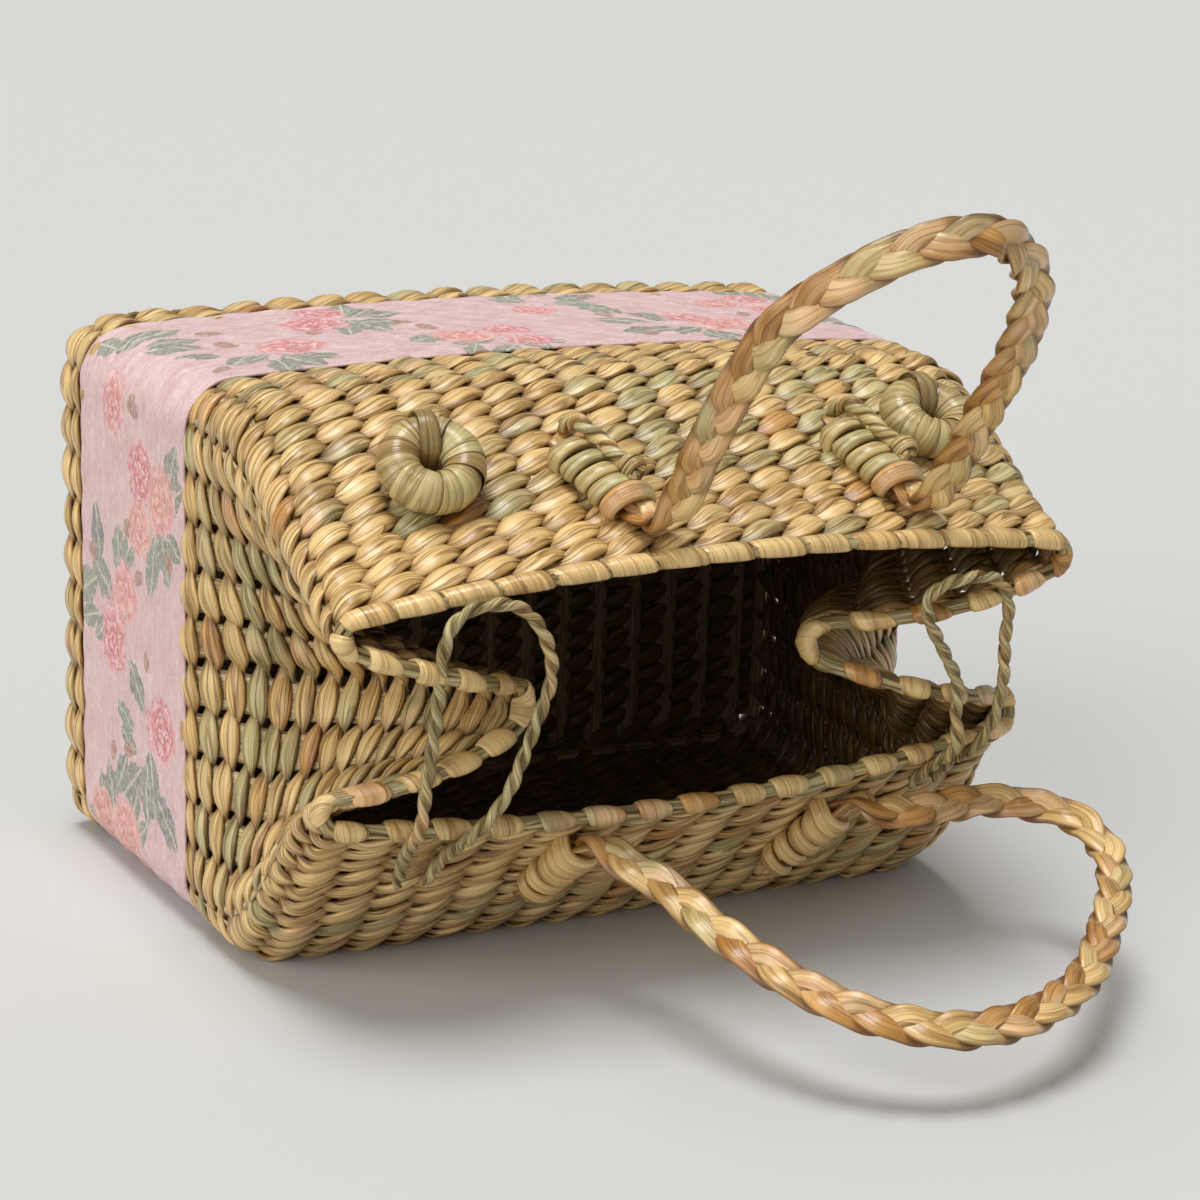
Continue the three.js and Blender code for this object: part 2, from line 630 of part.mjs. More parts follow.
for (const loop of closureLoops) {
  const curve = new THREE.CatmullRomCurve3(closureRoute(loop), false, 'centripetal');
  const count = 44;
  const stops = [];
  let out = wallSpot('lower', loop.root.x, loop.root.along).normal.clone();
  for (let i = 0; i <= count; i++) {
    const tangent = curve.getTangentAt(i / count);
    out = out.clone().addScaledVector(tangent, -out.dot(tangent)).normalize();
    stops.push({ centre: curve.getPointAt(i / count), out, across: tangent.clone().cross(out),
      halfWidth: cordDiameter / 2, halfHeight: cordDiameter / 2 });
  }
  addPiece(loop.name, solidFromRings(sweep(stops, cordSides)), greenStraw);
  loop.length = curve.getLength();
}

// Footprint: the origin goes to the middle of everything but the cords, on the floor
basket.updateMatrixWorld(true);
const footprint = new THREE.Box3();
for (const mesh of basket.children) {
  if (!mesh.name.startsWith('closure_loop')) footprint.expandByObject(mesh);
}
const middle = footprint.getCenter(new THREE.Vector3());
basket.position.set(-middle.x, -middle.y, -footprint.min.z);

console.log('least gap in a winding', Math.min(...leastGaps).toFixed(2), 'mm');
for (const handle of [upperHandle, lowerHandle]) {
  const foot = handle.hinge.left.clone().add(basket.position);
  console.log(handle.side, 'hinge', foot.toArray().map((v) => v.toFixed(2)).join(' '),
    'axis', handle.hinge.axis.toArray().map((v) => v.toFixed(4)).join(' '));
}
for (const loop of closureLoops) {
  const root = wallSpot('lower', loop.root.x, loop.root.along).point.clone().add(basket.position);
  console.log(loop.name, 'length', loop.length.toFixed(0), 'root', root.toArray().map((v) => v.toFixed(2)).join(' '));
}

export default basket;
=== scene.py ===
# %% [markdown]
# # A seagrass picnic basket
# The basket is twined by hand from dry seagrass round reed stakes, and lies on one of its broad sides with
# its mouth pressed together at the ends. Each cell below makes one kind of piece. Shapes are worked out in
# millimetres, as numpy grids of points, and put into Blender meshes in metres.

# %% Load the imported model
import math

import bpy
import numpy as np
from mathutils import Matrix, Vector


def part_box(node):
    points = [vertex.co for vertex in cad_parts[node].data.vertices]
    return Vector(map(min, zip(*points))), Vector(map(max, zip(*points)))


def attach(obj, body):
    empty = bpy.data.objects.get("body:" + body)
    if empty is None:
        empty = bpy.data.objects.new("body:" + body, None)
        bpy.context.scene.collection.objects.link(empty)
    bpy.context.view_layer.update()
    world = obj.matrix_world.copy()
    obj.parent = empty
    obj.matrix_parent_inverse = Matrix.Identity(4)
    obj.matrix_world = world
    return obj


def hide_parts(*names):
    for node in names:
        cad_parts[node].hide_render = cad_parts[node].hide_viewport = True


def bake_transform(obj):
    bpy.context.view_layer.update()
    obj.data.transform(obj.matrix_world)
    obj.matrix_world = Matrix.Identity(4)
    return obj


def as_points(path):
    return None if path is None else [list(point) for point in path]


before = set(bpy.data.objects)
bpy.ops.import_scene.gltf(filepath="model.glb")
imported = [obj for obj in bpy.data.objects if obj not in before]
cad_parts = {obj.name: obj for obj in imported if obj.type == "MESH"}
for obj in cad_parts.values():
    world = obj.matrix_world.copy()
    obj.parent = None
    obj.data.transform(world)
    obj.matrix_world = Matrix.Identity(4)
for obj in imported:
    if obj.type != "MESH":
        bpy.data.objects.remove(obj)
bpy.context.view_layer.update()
scene = bpy.context.scene
scene.view_settings.view_transform = "Standard"
MM = 0.001
TURN = 2 * math.pi
mat_low, mat_high = (np.array(corner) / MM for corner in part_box("base_mat"))
BODY_MIDDLE = (mat_low[0] + mat_high[0]) / 2     # across, the middle of the body
BASE_PLANE = mat_high[1]                         # the outer face of the base
print(len(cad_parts), "nodes, body middle", round(BODY_MIDDLE, 2), "base plane", round(BASE_PLANE, 2))

# %% [markdown]
# ## The camera
# The camera stands a little above the basket, to the left of its mouth. It was worked out from the corners
# of the base and of the mouth, so it is given as numbers: where it stands from the middle of the base's
# foot, how far it is turned, how far it looks down, how far it leans, and its focal length.

# %% Camera
CAMERA_PLACE = np.array([-582.6, -1370.1, 517.6])
CAMERA_TURN, CAMERA_DOWN, CAMERA_LEAN = 0.459, 0.2742, 0.0356
FOCAL_PIXELS, PICTURE_PIXELS = 3031, 1200

camera = bpy.data.objects.new("camera", bpy.data.cameras.new("camera"))
scene.collection.objects.link(camera)
camera.matrix_world = (
    Matrix.Translation((CAMERA_PLACE + [BODY_MIDDLE, BASE_PLANE, 0]) * MM)
    @ Matrix.Rotation(-CAMERA_TURN, 4, "Z")
    @ Matrix.Rotation(math.pi / 2 - CAMERA_DOWN, 4, "X")
    @ Matrix.Rotation(CAMERA_LEAN, 4, "Z"))
camera.data.angle = 2 * math.atan(PICTURE_PIXELS / 2 / FOCAL_PIXELS)
camera.data.clip_end = 20
scene.camera = camera

# %% [markdown]
# ## From grids of points to meshes
# Every piece is one or more grids: `points[i, j]` runs along the piece with `i` and round it with `j`. A
# grid is closed round itself, and may be closed along itself too. Its texture coordinates are kept in
# millimetres, so that fibres are drawn at their real size on every piece.

# %% Mesh helpers


def mix(first, second, share):
    """The value a share of the way from the first to the second."""
    return first + (second - first) * share


def unit(vectors):
    """Vectors of length one in the same directions."""
    return vectors / np.maximum(np.linalg.norm(vectors, axis=-1, keepdims=True), 1e-9)


def square_to(vectors, forward):
    """The vectors less their share along the forward directions, brought back to length one."""
    return unit(vectors - np.sum(vectors * forward, axis=-1, keepdims=True) * forward)


def path_length(path):
    """Distance along a path at each of its points."""
    return np.concatenate([[0], np.cumsum(np.linalg.norm(np.diff(path, axis=0), axis=1))])


def resampled(path, places):
    """Points of a path at the given distances along it."""
    distance = path_length(path)
    return np.stack([np.interp(places, distance, coordinate) for coordinate in path.T], axis=1)


def directions(path, closed=False):
    """Direction of travel at each point: from the point before to the point after."""
    if closed:
        return unit(np.roll(path, -1, axis=0) - np.roll(path, 1, axis=0))
    return unit(np.gradient(path, axis=0))


def column(value, path):
    """A value, one number or one for each point of a path, as a column of one for each point."""
    return np.broadcast_to(value, len(path))[:, None]


def grid_part(points, along, around, closed=False, **values):
    """One grid of four-sided faces. along has the fibre coordinate of each row line and around that of each
    column line, one more than the points where the grid is closed. An open grid gets ends: faces straight
    across from each point to its mirror point. values are numbers for the grid, each row or each point."""
    rows, columns = points.shape[:2]
    i, j = np.divmod(np.arange((rows if closed else rows - 1) * columns), columns)
    steps = ((0, 0), (0, 1), (1, 1), (1, 0))
    quads = np.stack([(i + a) % rows * columns + (j + b) % columns for a, b in steps], axis=1)
    corners = np.stack([np.stack([along[i + a], around[j + b]], axis=1) for a, b in steps], axis=1)
    if not closed:
        j = np.arange(columns // 2 - 1)
        end = np.stack([j, j + 1, columns - 2 - j, columns - 1 - j], axis=1)
        for row, face in ((0, end[:, ::-1]), (rows - 1, end)):
            quads = np.concatenate([quads, face + row * columns])
            face_along = np.full(face.shape, along[row])
            corners = np.concatenate([corners, np.stack([face_along, around[face]], axis=2)])
    for name, value in values.items():
        value = column(value, points) if np.ndim(value) < 2 else value
        values[name] = np.broadcast_to(value, (rows, columns)).ravel()
    return dict(values, points=points.reshape(-1, 3), quads=quads, corners=corners.reshape(-1, 2))


def make_piece(name, parts, material, body="basket", replaces=()):
    """A mesh from joined grids, in metres, with its fibre coordinates, its values and smooth faces."""
    mesh = bpy.data.meshes.new(name)

    def joined(key):
        """One value of every grid, end to end."""
        return np.concatenate([part[key] for part in parts])

    def put(data, key, values, kind=np.float32):
        """Fills one property of the mesh."""
        data.foreach_set(key, values.astype(kind).ravel())

    first_points = np.cumsum([0] + [len(part["points"]) for part in parts])
    quads = np.concatenate([part["quads"] + first for part, first in zip(parts, first_points)])
    mesh.vertices.add(first_points[-1])
    mesh.loops.add(quads.size)
    mesh.polygons.add(len(quads))
    put(mesh.vertices, "co", joined("points") * MM)
    put(mesh.loops, "vertex_index", quads, np.int32)
    put(mesh.polygons, "loop_start", np.arange(0, quads.size, 4), np.int32)
    put(mesh.polygons, "use_smooth", np.ones(len(quads)), bool)
    put(mesh.uv_layers.new(name="fibre").data, "uv", joined("corners"))
    for key in parts[0]:
        if key not in ("points", "quads", "corners"):
            put(mesh.attributes.new(key, "FLOAT", "POINT").data, "value", joined(key))
    mesh.update()
    mesh.validate()
    piece = bpy.data.objects.new(name, mesh)
    scene.collection.objects.link(piece)
    mesh.materials.append(material)
    if body:
        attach(piece, body)
    for node in replaces:
        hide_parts(node)
    return piece


def oval(sides, fullness):
    """Cosine and sine round an oval section, the sine raised to a power that makes it fuller or slimmer."""
    angle = np.arange(sides)[None, :] * TURN / sides
    return np.cos(angle), np.sign(np.sin(angle)) * np.abs(np.sin(angle)) ** fullness


def strip(path, out, width, thickness, tone, sides=12, closed=False, start=0.0, fullness=1.0, high=None,
          over=0.0):
    """A flat strip carried along a path, with an oval section: across times width/2 times the cosine, plus
    out times thickness/2 times the sine. light is painted shade, which darkens the colour where it is low:
    with high, the path's height over the middle of the weave, it is the point's height, or 0.3 of its depth
    under that middle, so that the inner face of the weave gets painted shade. Without high it is 0.8 plus 1.7
    times the distance from the middle plane, so that the strip's edges get painted shade, less up to 0.72 of
    that where a neighbour covers the side, a painted shadow of the neighbour: the inner side where over is 1,
    the outer where it is -1."""
    forward = directions(path, closed)
    out = square_to(out, forward)
    across = np.cross(out, forward)
    cosine, sine = oval(sides, fullness)
    rise = column(thickness, path) / 2 * sine
    points = path[:, None] + across[:, None] * (column(width, path) / 2 * cosine)[..., None]
    points = points + out[:, None] * rise[..., None]
    distance = path_length(np.concatenate([path, path[:1]]) if closed else path)
    around = np.append(cosine, 1) * float(np.mean(width)) / 2 + 200 * start
    if high is None:
        # Painted shade on the strip's edges, and a painted shadow where a neighbour covers a side.
        covered = np.clip(-column(over, path) * np.sign(rise), 0, 1)
        light = (0.8 + 1.7 * np.abs(rise)) * (1 - 0.72 * covered ** 1.3)
    else:
        # Painted shade by depth: the deeper in the weave, the darker, and the inner face darkest.
        depth = column(high, path) + rise
        light = np.where(depth > 0, depth, 0.30 * np.abs(depth))
    return grid_part(points, distance + 900 * start, around, closed, tone=tone, light=light)


# %% [markdown]
# ## Smooth routes
# Handles, cords and ties follow a smooth curve through a few chosen points. The centripetal Catmull-Rom
# curve passes through all of them. Its knots are spaced by the square root of the distance, so it makes no
# loops or bulges where the points are close together.

# %% Smooth curve through points


def smooth_route(points, count):
    """Centripetal Catmull-Rom curve, at evenly spaced distances along it. The first and last points are
    mirrored outwards to give the end pieces a direction."""
    points = np.asarray(points, float)
    points = np.concatenate([[2 * points[0] - points[1]], points, [2 * points[-1] - points[-2]]])
    knots = np.concatenate([[0], np.cumsum(np.sqrt(np.linalg.norm(np.diff(points, axis=0), axis=1)))])
    time = np.linspace(knots[1], knots[-2], 40 * len(points))
    span = np.clip(np.searchsorted(knots, time, side="right") - 1, 1, len(points) - 3)
    level = [points[span + k] for k in (-1, 0, 1, 2)]
    for reach, firsts in ((1, (-1, 0, 1)), (2, (-1, 0)), (1, (0,))):
        blended = []
        for place, first in enumerate(firsts):
            low, high = knots[span + first], knots[span + first + reach]
            blended.append(mix(level[place], level[place + 1], ((time - low) / (high - low))[:, None]))
        level = blended
    curve = level[0]
    return resampled(curve, np.linspace(0, path_length(curve)[-1], count))


# %% [markdown]
# ## The wall as one surface
# The wall is a sheet with two directions: how far round the base a stake stands, and how far along that
# stake a point is from the base. Near the base its outline is a rounded box. Past the paper band the end
# walls fold inwards, and further on the broad walls lean together. No stake stretches, so where a point
# moves in or down it comes less far forward: each step forward is the square root of the stake's step
# squared less the sideways move squared.

# %% The wall's outline
BODY_THICKNESS, BASE_HALF_LENGTH, MOUTH_HALF_LENGTH = 250, 192, 170
ROW_PITCH, ROW_COUNT, WALL_LENGTH = 11.4, 27, 328
BASE_CORNER_RADIUS, MOUTH_CORNER_RADIUS, FOLD_TIP_RADIUS = 24, 9, 8
LEAN_START, LEAN_EASE, FOLD_START, FOLD_RUSH = 199, 0.3, 154, 0.5
MOUTH_CORNERS = {"upper_left": 60, "upper_right": 67, "lower_left": -36, "lower_right": -29}
UPPER_CROWN, LOWER_CROWN, TOP_SAG = 7, 9, 5
LEFT_FOLD, RIGHT_FOLD = 88, 106
PAPER_START, PAPER_END, FLOOR_GAP = 26.5, 152.5, 0.9
BROAD_COLUMNS, HALF_END_COLUMNS = 120, 130


def lean_share(along):
    """0 where a stake starts to lean, at a distance from the base, and 1 at the rim."""
    return np.clip((along - LEAN_START) / (WALL_LENGTH - LEAN_START), 0, 1)


def half_end(half_length, radius, depth, corner_height, fold_middle, start_angle, sign):
    """Half of an end wall, as if at +X: the corner's circle, a straight part that touches both circles, and
    the fold tip's circle as far as the fold's middle."""
    centre = np.array([half_length - radius, sign * (corner_height - fold_middle) - radius])
    tip_x = half_length - depth + FOLD_TIP_RADIUS
    reach = np.array([tip_x, 0]) - centre
    crossing = math.atan2(reach[1], reach[0]) + math.acos((radius + FOLD_TIP_RADIUS) / np.hypot(*reach))
    corner = np.linspace(start_angle, crossing, 49)
    tip = np.linspace(crossing, 0, 25)
    circle = centre + radius * np.stack([np.cos(corner), np.sin(corner)], axis=1)
    fold = np.stack([tip_x - FOLD_TIP_RADIUS * np.cos(tip), -FOLD_TIP_RADIUS * np.sin(tip)], axis=1)
    return np.concatenate([circle, fold]) * [1, sign] + [0, fold_middle]


def outline(along):
    """The wall's outline, across and up, at one distance from the base: upper wall from -X to +X, the +X end
    down, the lower wall back, and the -X end up. Heights are from the middle of the thickness."""
    lean = lean_share(along)
    lean = LEAN_EASE * lean * lean * (3 - 2 * lean) + (1 - LEAN_EASE) * lean
    fold = np.clip((along - FOLD_START) / (WALL_LENGTH - FOLD_START), 0, 1)
    fold = fold + FOLD_RUSH * fold * (1 - fold)
    half_length = mix(BASE_HALF_LENGTH, MOUTH_HALF_LENGTH, along / WALL_LENGTH)
    radius = mix(BASE_CORNER_RADIUS, MOUTH_CORNER_RADIUS, lean)
    span = half_length - radius
    crowns = {"upper": TOP_SAG + UPPER_CROWN * lean, "lower": LOWER_CROWN * lean}
    height = {key: mix(math.copysign(BODY_THICKNESS / 2, value), value, lean)
              for key, value in MOUTH_CORNERS.items()}
    ends = {}
    for side, depth, sign in (("right", RIGHT_FOLD * fold, 1), ("left", LEFT_FOLD * fold, -1)):
        middle = (height["upper_" + side] + height["lower_" + side]) / 2
        for level, up in (("upper", 1), ("lower", -1)):
            tilt = sign * up * (height[level + "_right"] - height[level + "_left"]) / (2 * span)
            angle = math.pi / 2 - math.atan(2 * crowns[level] / span - tilt)
            half = half_end(half_length, radius, depth, height[f"{level}_{side}"], middle, angle, up)
            ends[f"{side}_{level}"] = half * [sign, 1]

    def broad(start, end, crown):
        """A broad wall: a straight line, raised by the crown times 1 less the square of the distance from
        its middle, where its ends are at 1."""
        share = np.linspace(0, 1, 60)
        line = mix(start[None, :], end[None, :], share[:, None])
        line[:, 1] += crown * (1 - (2 * share - 1) ** 2)
        return line

    top = broad(ends["left_upper"][0], ends["right_upper"][0], crowns["upper"])
    bottom = broad(ends["right_lower"][0], ends["left_lower"][0], -crowns["lower"])
    lines = ((top, BROAD_COLUMNS), (ends["right_upper"], HALF_END_COLUMNS),
             (ends["right_lower"][::-1], HALF_END_COLUMNS), (bottom, BROAD_COLUMNS),
             (ends["left_lower"], HALF_END_COLUMNS), (ends["left_upper"][::-1], HALF_END_COLUMNS))
    return np.concatenate([resampled(line, np.arange(count) * path_length(line)[-1] / count)
                           for line, count in lines])


# %% [markdown]
# The outline is worked out every 2 mm along the stakes, and the steps forward are added up. That grid is
# the whole wall: any point on it, with its outward direction, is mixed from the four grid points round it.

# %% The wall's grid
ALONG_STEP = 2.0
ALONG_LINES = np.arange(0, WALL_LENGTH + ALONG_STEP, ALONG_STEP)
flat_outlines = np.stack([outline(along) for along in ALONG_LINES])
sideways = np.sum(np.diff(flat_outlines, axis=0) ** 2, axis=2)
steps_forward = np.sqrt(np.maximum(ALONG_STEP ** 2 - sideways, (ALONG_STEP / 4) ** 2))
distance_out = np.concatenate([np.zeros((1, flat_outlines.shape[1])), np.cumsum(steps_forward, axis=0)])
WALL = np.stack([flat_outlines[..., 0] + BODY_MIDDLE, BASE_PLANE - distance_out,
                 flat_outlines[..., 1] + BODY_THICKNESS / 2 + FLOOR_GAP], axis=2)
COLUMNS = WALL.shape[1]
COLUMN_PLACE = path_length(np.concatenate([WALL[0], WALL[0][:1]]))     # how far round the base
ROUND_LENGTH = COLUMN_PLACE[-1]
BROAD_LENGTH = COLUMN_PLACE[BROAD_COLUMNS]
LOWER_START = BROAD_COLUMNS + 2 * HALF_END_COLUMNS
ROW_DIRECTION = unit(np.roll(WALL, -1, axis=1) - np.roll(WALL, 1, axis=1))
MOUTH_DIRECTION = unit(np.gradient(WALL, axis=0))
OUTWARD = unit(np.cross(MOUTH_DIRECTION, ROW_DIRECTION))
print("round the base", round(ROUND_LENGTH, 1), "mm, wall grid", WALL.shape[:2])


def short_way(gap):
    """A gap between two places round the base, taken the short way round."""
    return (gap + ROUND_LENGTH / 2) % ROUND_LENGTH - ROUND_LENGTH / 2


def wall(place, along):
    """Points of the wall's outer face and their outward and mouthward directions, at a place round the base
    and a distance along the stakes: each is mixed from the four nearest grid points."""
    place, along = np.broadcast_arrays(np.asarray(place, float), np.asarray(along, float))
    column = np.interp(place % ROUND_LENGTH, COLUMN_PLACE, np.arange(COLUMNS + 1))
    low = np.clip(np.floor(column).astype(int), 0, COLUMNS - 1)
    high = (low + 1) % COLUMNS
    line = along / ALONG_STEP
    near = np.clip(np.floor(line).astype(int), 0, len(ALONG_LINES) - 2)
    across_share = (column - low)[..., None]

    def mixed(grid):
        """A grid's value, mixed straight across and then along."""
        nearer = mix(grid[near, low], grid[near, high], across_share)
        further = mix(grid[near + 1, low], grid[near + 1, high], across_share)
        return mix(nearer, further, (line - near)[..., None])

    return mixed(WALL), unit(mixed(OUTWARD)), unit(mixed(MOUTH_DIRECTION))


def place_of(side, across, along):
    """The place round the base whose stake passes a distance across from the middle of a broad wall."""
    columns = (0 if side == "upper" else LOWER_START) + np.arange(BROAD_COLUMNS + 1)
    x = WALL[int(round(along / ALONG_STEP)), columns, 0] - BODY_MIDDLE
    order = np.argsort(x)
    return float(np.interp(across, x[order], COLUMN_PLACE[columns][order]))


def on_the_floor(part):
    """Lifts what would go under the floor onto it, leaving it nearly flat there."""
    height = part["points"][:, 2]
    pressed = 0.1 + 0.2 * np.exp((np.minimum(height, 0.3) - 0.3) / 1.5)
    part["points"][:, 2] = np.where(height < 0.3, pressed, height)
    return part


# %% [markdown]
# ## Shader nodes as sums
# A material is worked out from noise and from the numbers that a mesh carries. A node's output is wrapped
# here so that it can be written into a sum, which adds the nodes that work the sum out.

# %% Shader helpers


def feed(node, inputs):
    """Gives each input a plain number, a plain colour without its alpha, or a link from another node."""
    for key, value in inputs.items():
        if isinstance(value, Value):
            node.id_data.links.new(value.socket, node.inputs[key])
        else:
            colour = node.inputs[key].type == "RGBA"
            node.inputs[key].default_value = (*value, 1) if colour else value


def add_node(tree, kind, output, inputs=None, **settings):
    """A new shader node's output."""
    node = tree.nodes.new("ShaderNode" + kind)
    for key, value in settings.items():
        setattr(node, key, value)
    feed(node, inputs or {})
    return Value(node.outputs[output])


class Value:
    """An output of a shader node, on which sums add further nodes."""

    def __init__(self, socket):
        self.socket = socket
        self.tree = socket.id_data

    def apply(self, operation, *others):
        """A sum on this value and on others, which may be plain numbers."""
        return add_node(self.tree, "Math", 0, dict(enumerate((self, *others))), operation=operation)

    def __add__(self, other):
        return self.apply("ADD", other)

    def __sub__(self, other):
        return self.apply("SUBTRACT", other)

    def __mul__(self, other):
        return self.apply("MULTIPLY", other)

    def __pow__(self, other):
        return self.apply("POWER", other)

    def __abs__(self):
        return self.apply("ABSOLUTE")

    def ranged(self, low, high, first=0.0, last=1.0, kind="LINEAR"):
        """low where this value is first or less, high where it is last or more, and a slope between."""
        inputs = {"Value": self, "From Min": first, "From Max": last, "To Min": low, "To Max": high}
        return add_node(self.tree, "MapRange", "Result", inputs, interpolation_type=kind)

    def below(self, edge, softness):
        """1 where this value is under the edge, 0 above it, with a soft step between."""
        return self.ranged(1.0, 0.0, edge - softness, edge + softness, "SMOOTHSTEP")

    def between(self, first, second):
        """The colour that lies this share of the way from the first to the second."""
        inputs = {"Factor": self, "A": first, "B": second}
        return add_node(self.tree, "Mix", "Result", inputs, data_type="RGBA")

    def times(self, factor):
        """This colour times a grey value or another colour."""
        inputs = {"Factor": 1.0, "A": self, "B": factor}
        return add_node(self.tree, "Mix", "Result", inputs, data_type="RGBA", blend_type="MULTIPLY")

    def noise(self, scale, detail=3.0, roughness=0.6):
        """Noise at this place, scaled differently along and across the fibres, per millimetre."""
        stretched = add_node(self.tree, "Mapping", "Vector", {"Vector": self, "Scale": (*scale, 1)})
        inputs = {"Vector": stretched, "Scale": 1.0, "Detail": detail, "Roughness": roughness}
        return add_node(self.tree, "TexNoise", "Fac", inputs)

    def ramp(self, stops):
        """The colour that this value chooses from places and their colours."""
        chosen = add_node(self.tree, "ValToRGB", "Color", {"Fac": self})
        elements = chosen.socket.node.color_ramp.elements
        while len(elements) < len(stops):
            elements.new(0.5)
        for element, (place, colour) in zip(elements, stops):
            element.position = place
            element.color = (*colour, 1)
        return chosen


def new_material(name):
    """A material, its shader, the fibre coordinates and a way to fetch a value that the mesh carries."""
    material = bpy.data.materials.new(name)
    material.use_nodes = True
    tree = material.node_tree

    def carried(value_name):
        """A value that the mesh carries at its points."""
        return add_node(tree, "Attribute", "Fac", attribute_name=value_name)

    return material, tree.nodes["Principled BSDF"], add_node(tree, "UVMap", "UV", uv_map="fibre"), carried


def bumps(*heights):
    """The normal after one bump on another: each is a height, a strength and a distance in millimetres."""
    inputs = {}
    for height, strength, distance in heights:
        inputs.update({"Height": height, "Strength": strength, "Distance": distance * MM})
        inputs["Normal"] = add_node(height.tree, "Bump", "Normal", inputs)
    return inputs["Normal"]


# %% [markdown]
# ## Dry seagrass
# A dry blade is a tube that has gone flat. It has fine lengthwise creases, a soft shine, and a colour that
# runs from pale straw through pinkish tan to grey green, with an orange brown one here and there. Noise
# stretched along the strand gives the streaks, and where other such noise crosses its middle value a layer
# folds over or a crease runs, with painted shade under the fold and in the crease. Which colour a blade has
# comes from the value `tone` of its mesh, and the value `light` paints shade on the parts deep in the weave.

# %% Seagrass materials
STRAW_TONES = [(0.00, (0.500, 0.285, 0.090)), (0.22, (0.650, 0.415, 0.152)), (0.42, (0.755, 0.520, 0.222)),
               (0.56, (0.675, 0.470, 0.195)), (0.66, (0.570, 0.455, 0.205)), (0.76, (0.460, 0.410, 0.195)),
               (0.84, (0.730, 0.465, 0.235)), (0.92, (0.575, 0.300, 0.085)), (1.00, (0.400, 0.185, 0.045))]
REED_TONES = [(0.0, (0.55, 0.40, 0.19)), (1.0, (0.72, 0.56, 0.32))]
GLOSSY_TONES = [(0.0, (0.370, 0.235, 0.085)), (0.3, (0.470, 0.350, 0.145)), (0.65, (0.520, 0.435, 0.190)),
                (1.0, (0.640, 0.490, 0.250))]


def warm_shade(colour, factor):
    """A colour darkened by a painted shade factor, the blue most and the red least, as shade in straw is
    brown: red times the factor to the power 0.8, green the factor itself, blue to the power 1.3."""
    channels = {"Red": factor ** 0.8, "Green": factor ** 1.0, "Blue": factor ** 1.3}
    return colour.times(add_node(colour.tree, "CombineColor", "Color", channels))


def folded_edge(noise, dark):
    """Where the noise climbs through its middle value one layer of the blade lies over another: the height
    steps up there, the lower layer gets painted shade towards the edge, and the upper one a little painted
    light. Gives the painted shade and the height."""
    step = noise.ranged(0.0, 1.0, 0.492, 0.510, "SMOOTHSTEP")
    return step.ranged(noise.ranged(1.0, 1 - dark, 0.40, 0.50), 1.04), step


def seagrass_material(name, tones, crease, roughness=0.36, streak_scale=(0.012, 0.15)):
    """Dry seagrass: tone, moved a little by slow noise, chooses the colour. Stretched noise makes streaks
    and creases, and two more stretched noises lay folds over one another; the creases and the folds' edges
    get painted shade. light, carried by the mesh, is painted shade: the deeper a point lies in the weave, the
    darker its colour."""
    material, shader, fibre, carried = new_material(name)
    thin_scale = (0.9 * streak_scale[0], 2.7 * streak_scale[1])
    fold_shade, fold_height = folded_edge(fibre.noise(streak_scale, 0.5), 0.46 * crease)
    thin_shade, thin_height = folded_edge(fibre.noise(thin_scale, 0.5), 0.24 * crease)
    streaks = fibre.noise((0.03, 1.1))
    patches = fibre.noise((0.04, 0.06), 2)
    fine = fibre.noise((0.06, 3.4), 2)
    from_line = abs(fibre.noise((0.013, 0.25), 1.4) - 0.5)
    # Painted shade in the creases: darker along the middle value of this noise.
    creases = from_line.ranged(1 - 0.45 * crease, 1.0, 0.0, 0.045, "SMOOTHSTEP")
    painted_depth_shade = carried("light").ranged(0.24, 1.0, 0.2, 3.5, "SMOOTHSTEP")
    colour = (carried("tone") + patches.ranged(-0.18, 0.18)).ramp(tones)
    for factor in (streaks.ranged(0.68, 1.30), patches.ranged(0.80, 1.20), fine.ranged(0.88, 1.12)):
        colour = colour.times(factor)
    # Painted shade: under the folds, in the creases and deep in the weave.
    for factor in (fold_shade, thin_shade, creases, painted_depth_shade):
        colour = warm_shade(colour, factor)
    strength = min(crease, 1.0)
    normal = bumps((fold_height, 0.9 * strength, 0.6), (thin_height, 0.7 * strength, 0.35),
                   (streaks + creases, 0.6 * strength, 0.5))
    feed(shader, {"Base Color": colour, "Roughness": patches.ranged(roughness - 0.16, roughness + 0.16),
                  "Coat Weight": 0.18, "Coat Roughness": 0.16, "Normal": normal})
    return material


seagrass = seagrass_material("seagrass_blades", STRAW_TONES, 1.2)
smooth_blade = seagrass_material("smooth_blades", STRAW_TONES, 0.8, 0.30, (0.009, 0.055))
glossy_blade = seagrass_material("glossy_blades", GLOSSY_TONES, 0.8, 0.30, (0.012, 0.11))
reed = seagrass_material("split_reed", REED_TONES, 1.0, streak_scale=(0.006, 0.85))

# %% [markdown]
# ## The twined rows
# Twining uses two strands at once. They pass on either side of a stake, then twist half a turn round each
# other before the next one. So each strand is a helix of two stakes' length, flattened against the wall:
# out from the wall by the cosine of its phase, and along the stakes by minus the sine, which gives every
# lobe the same slant. A strand is widest and plumpest where it passes over a stake, and narrow where it
# slips between two. Small random changes from lobe to lobe keep it handmade.

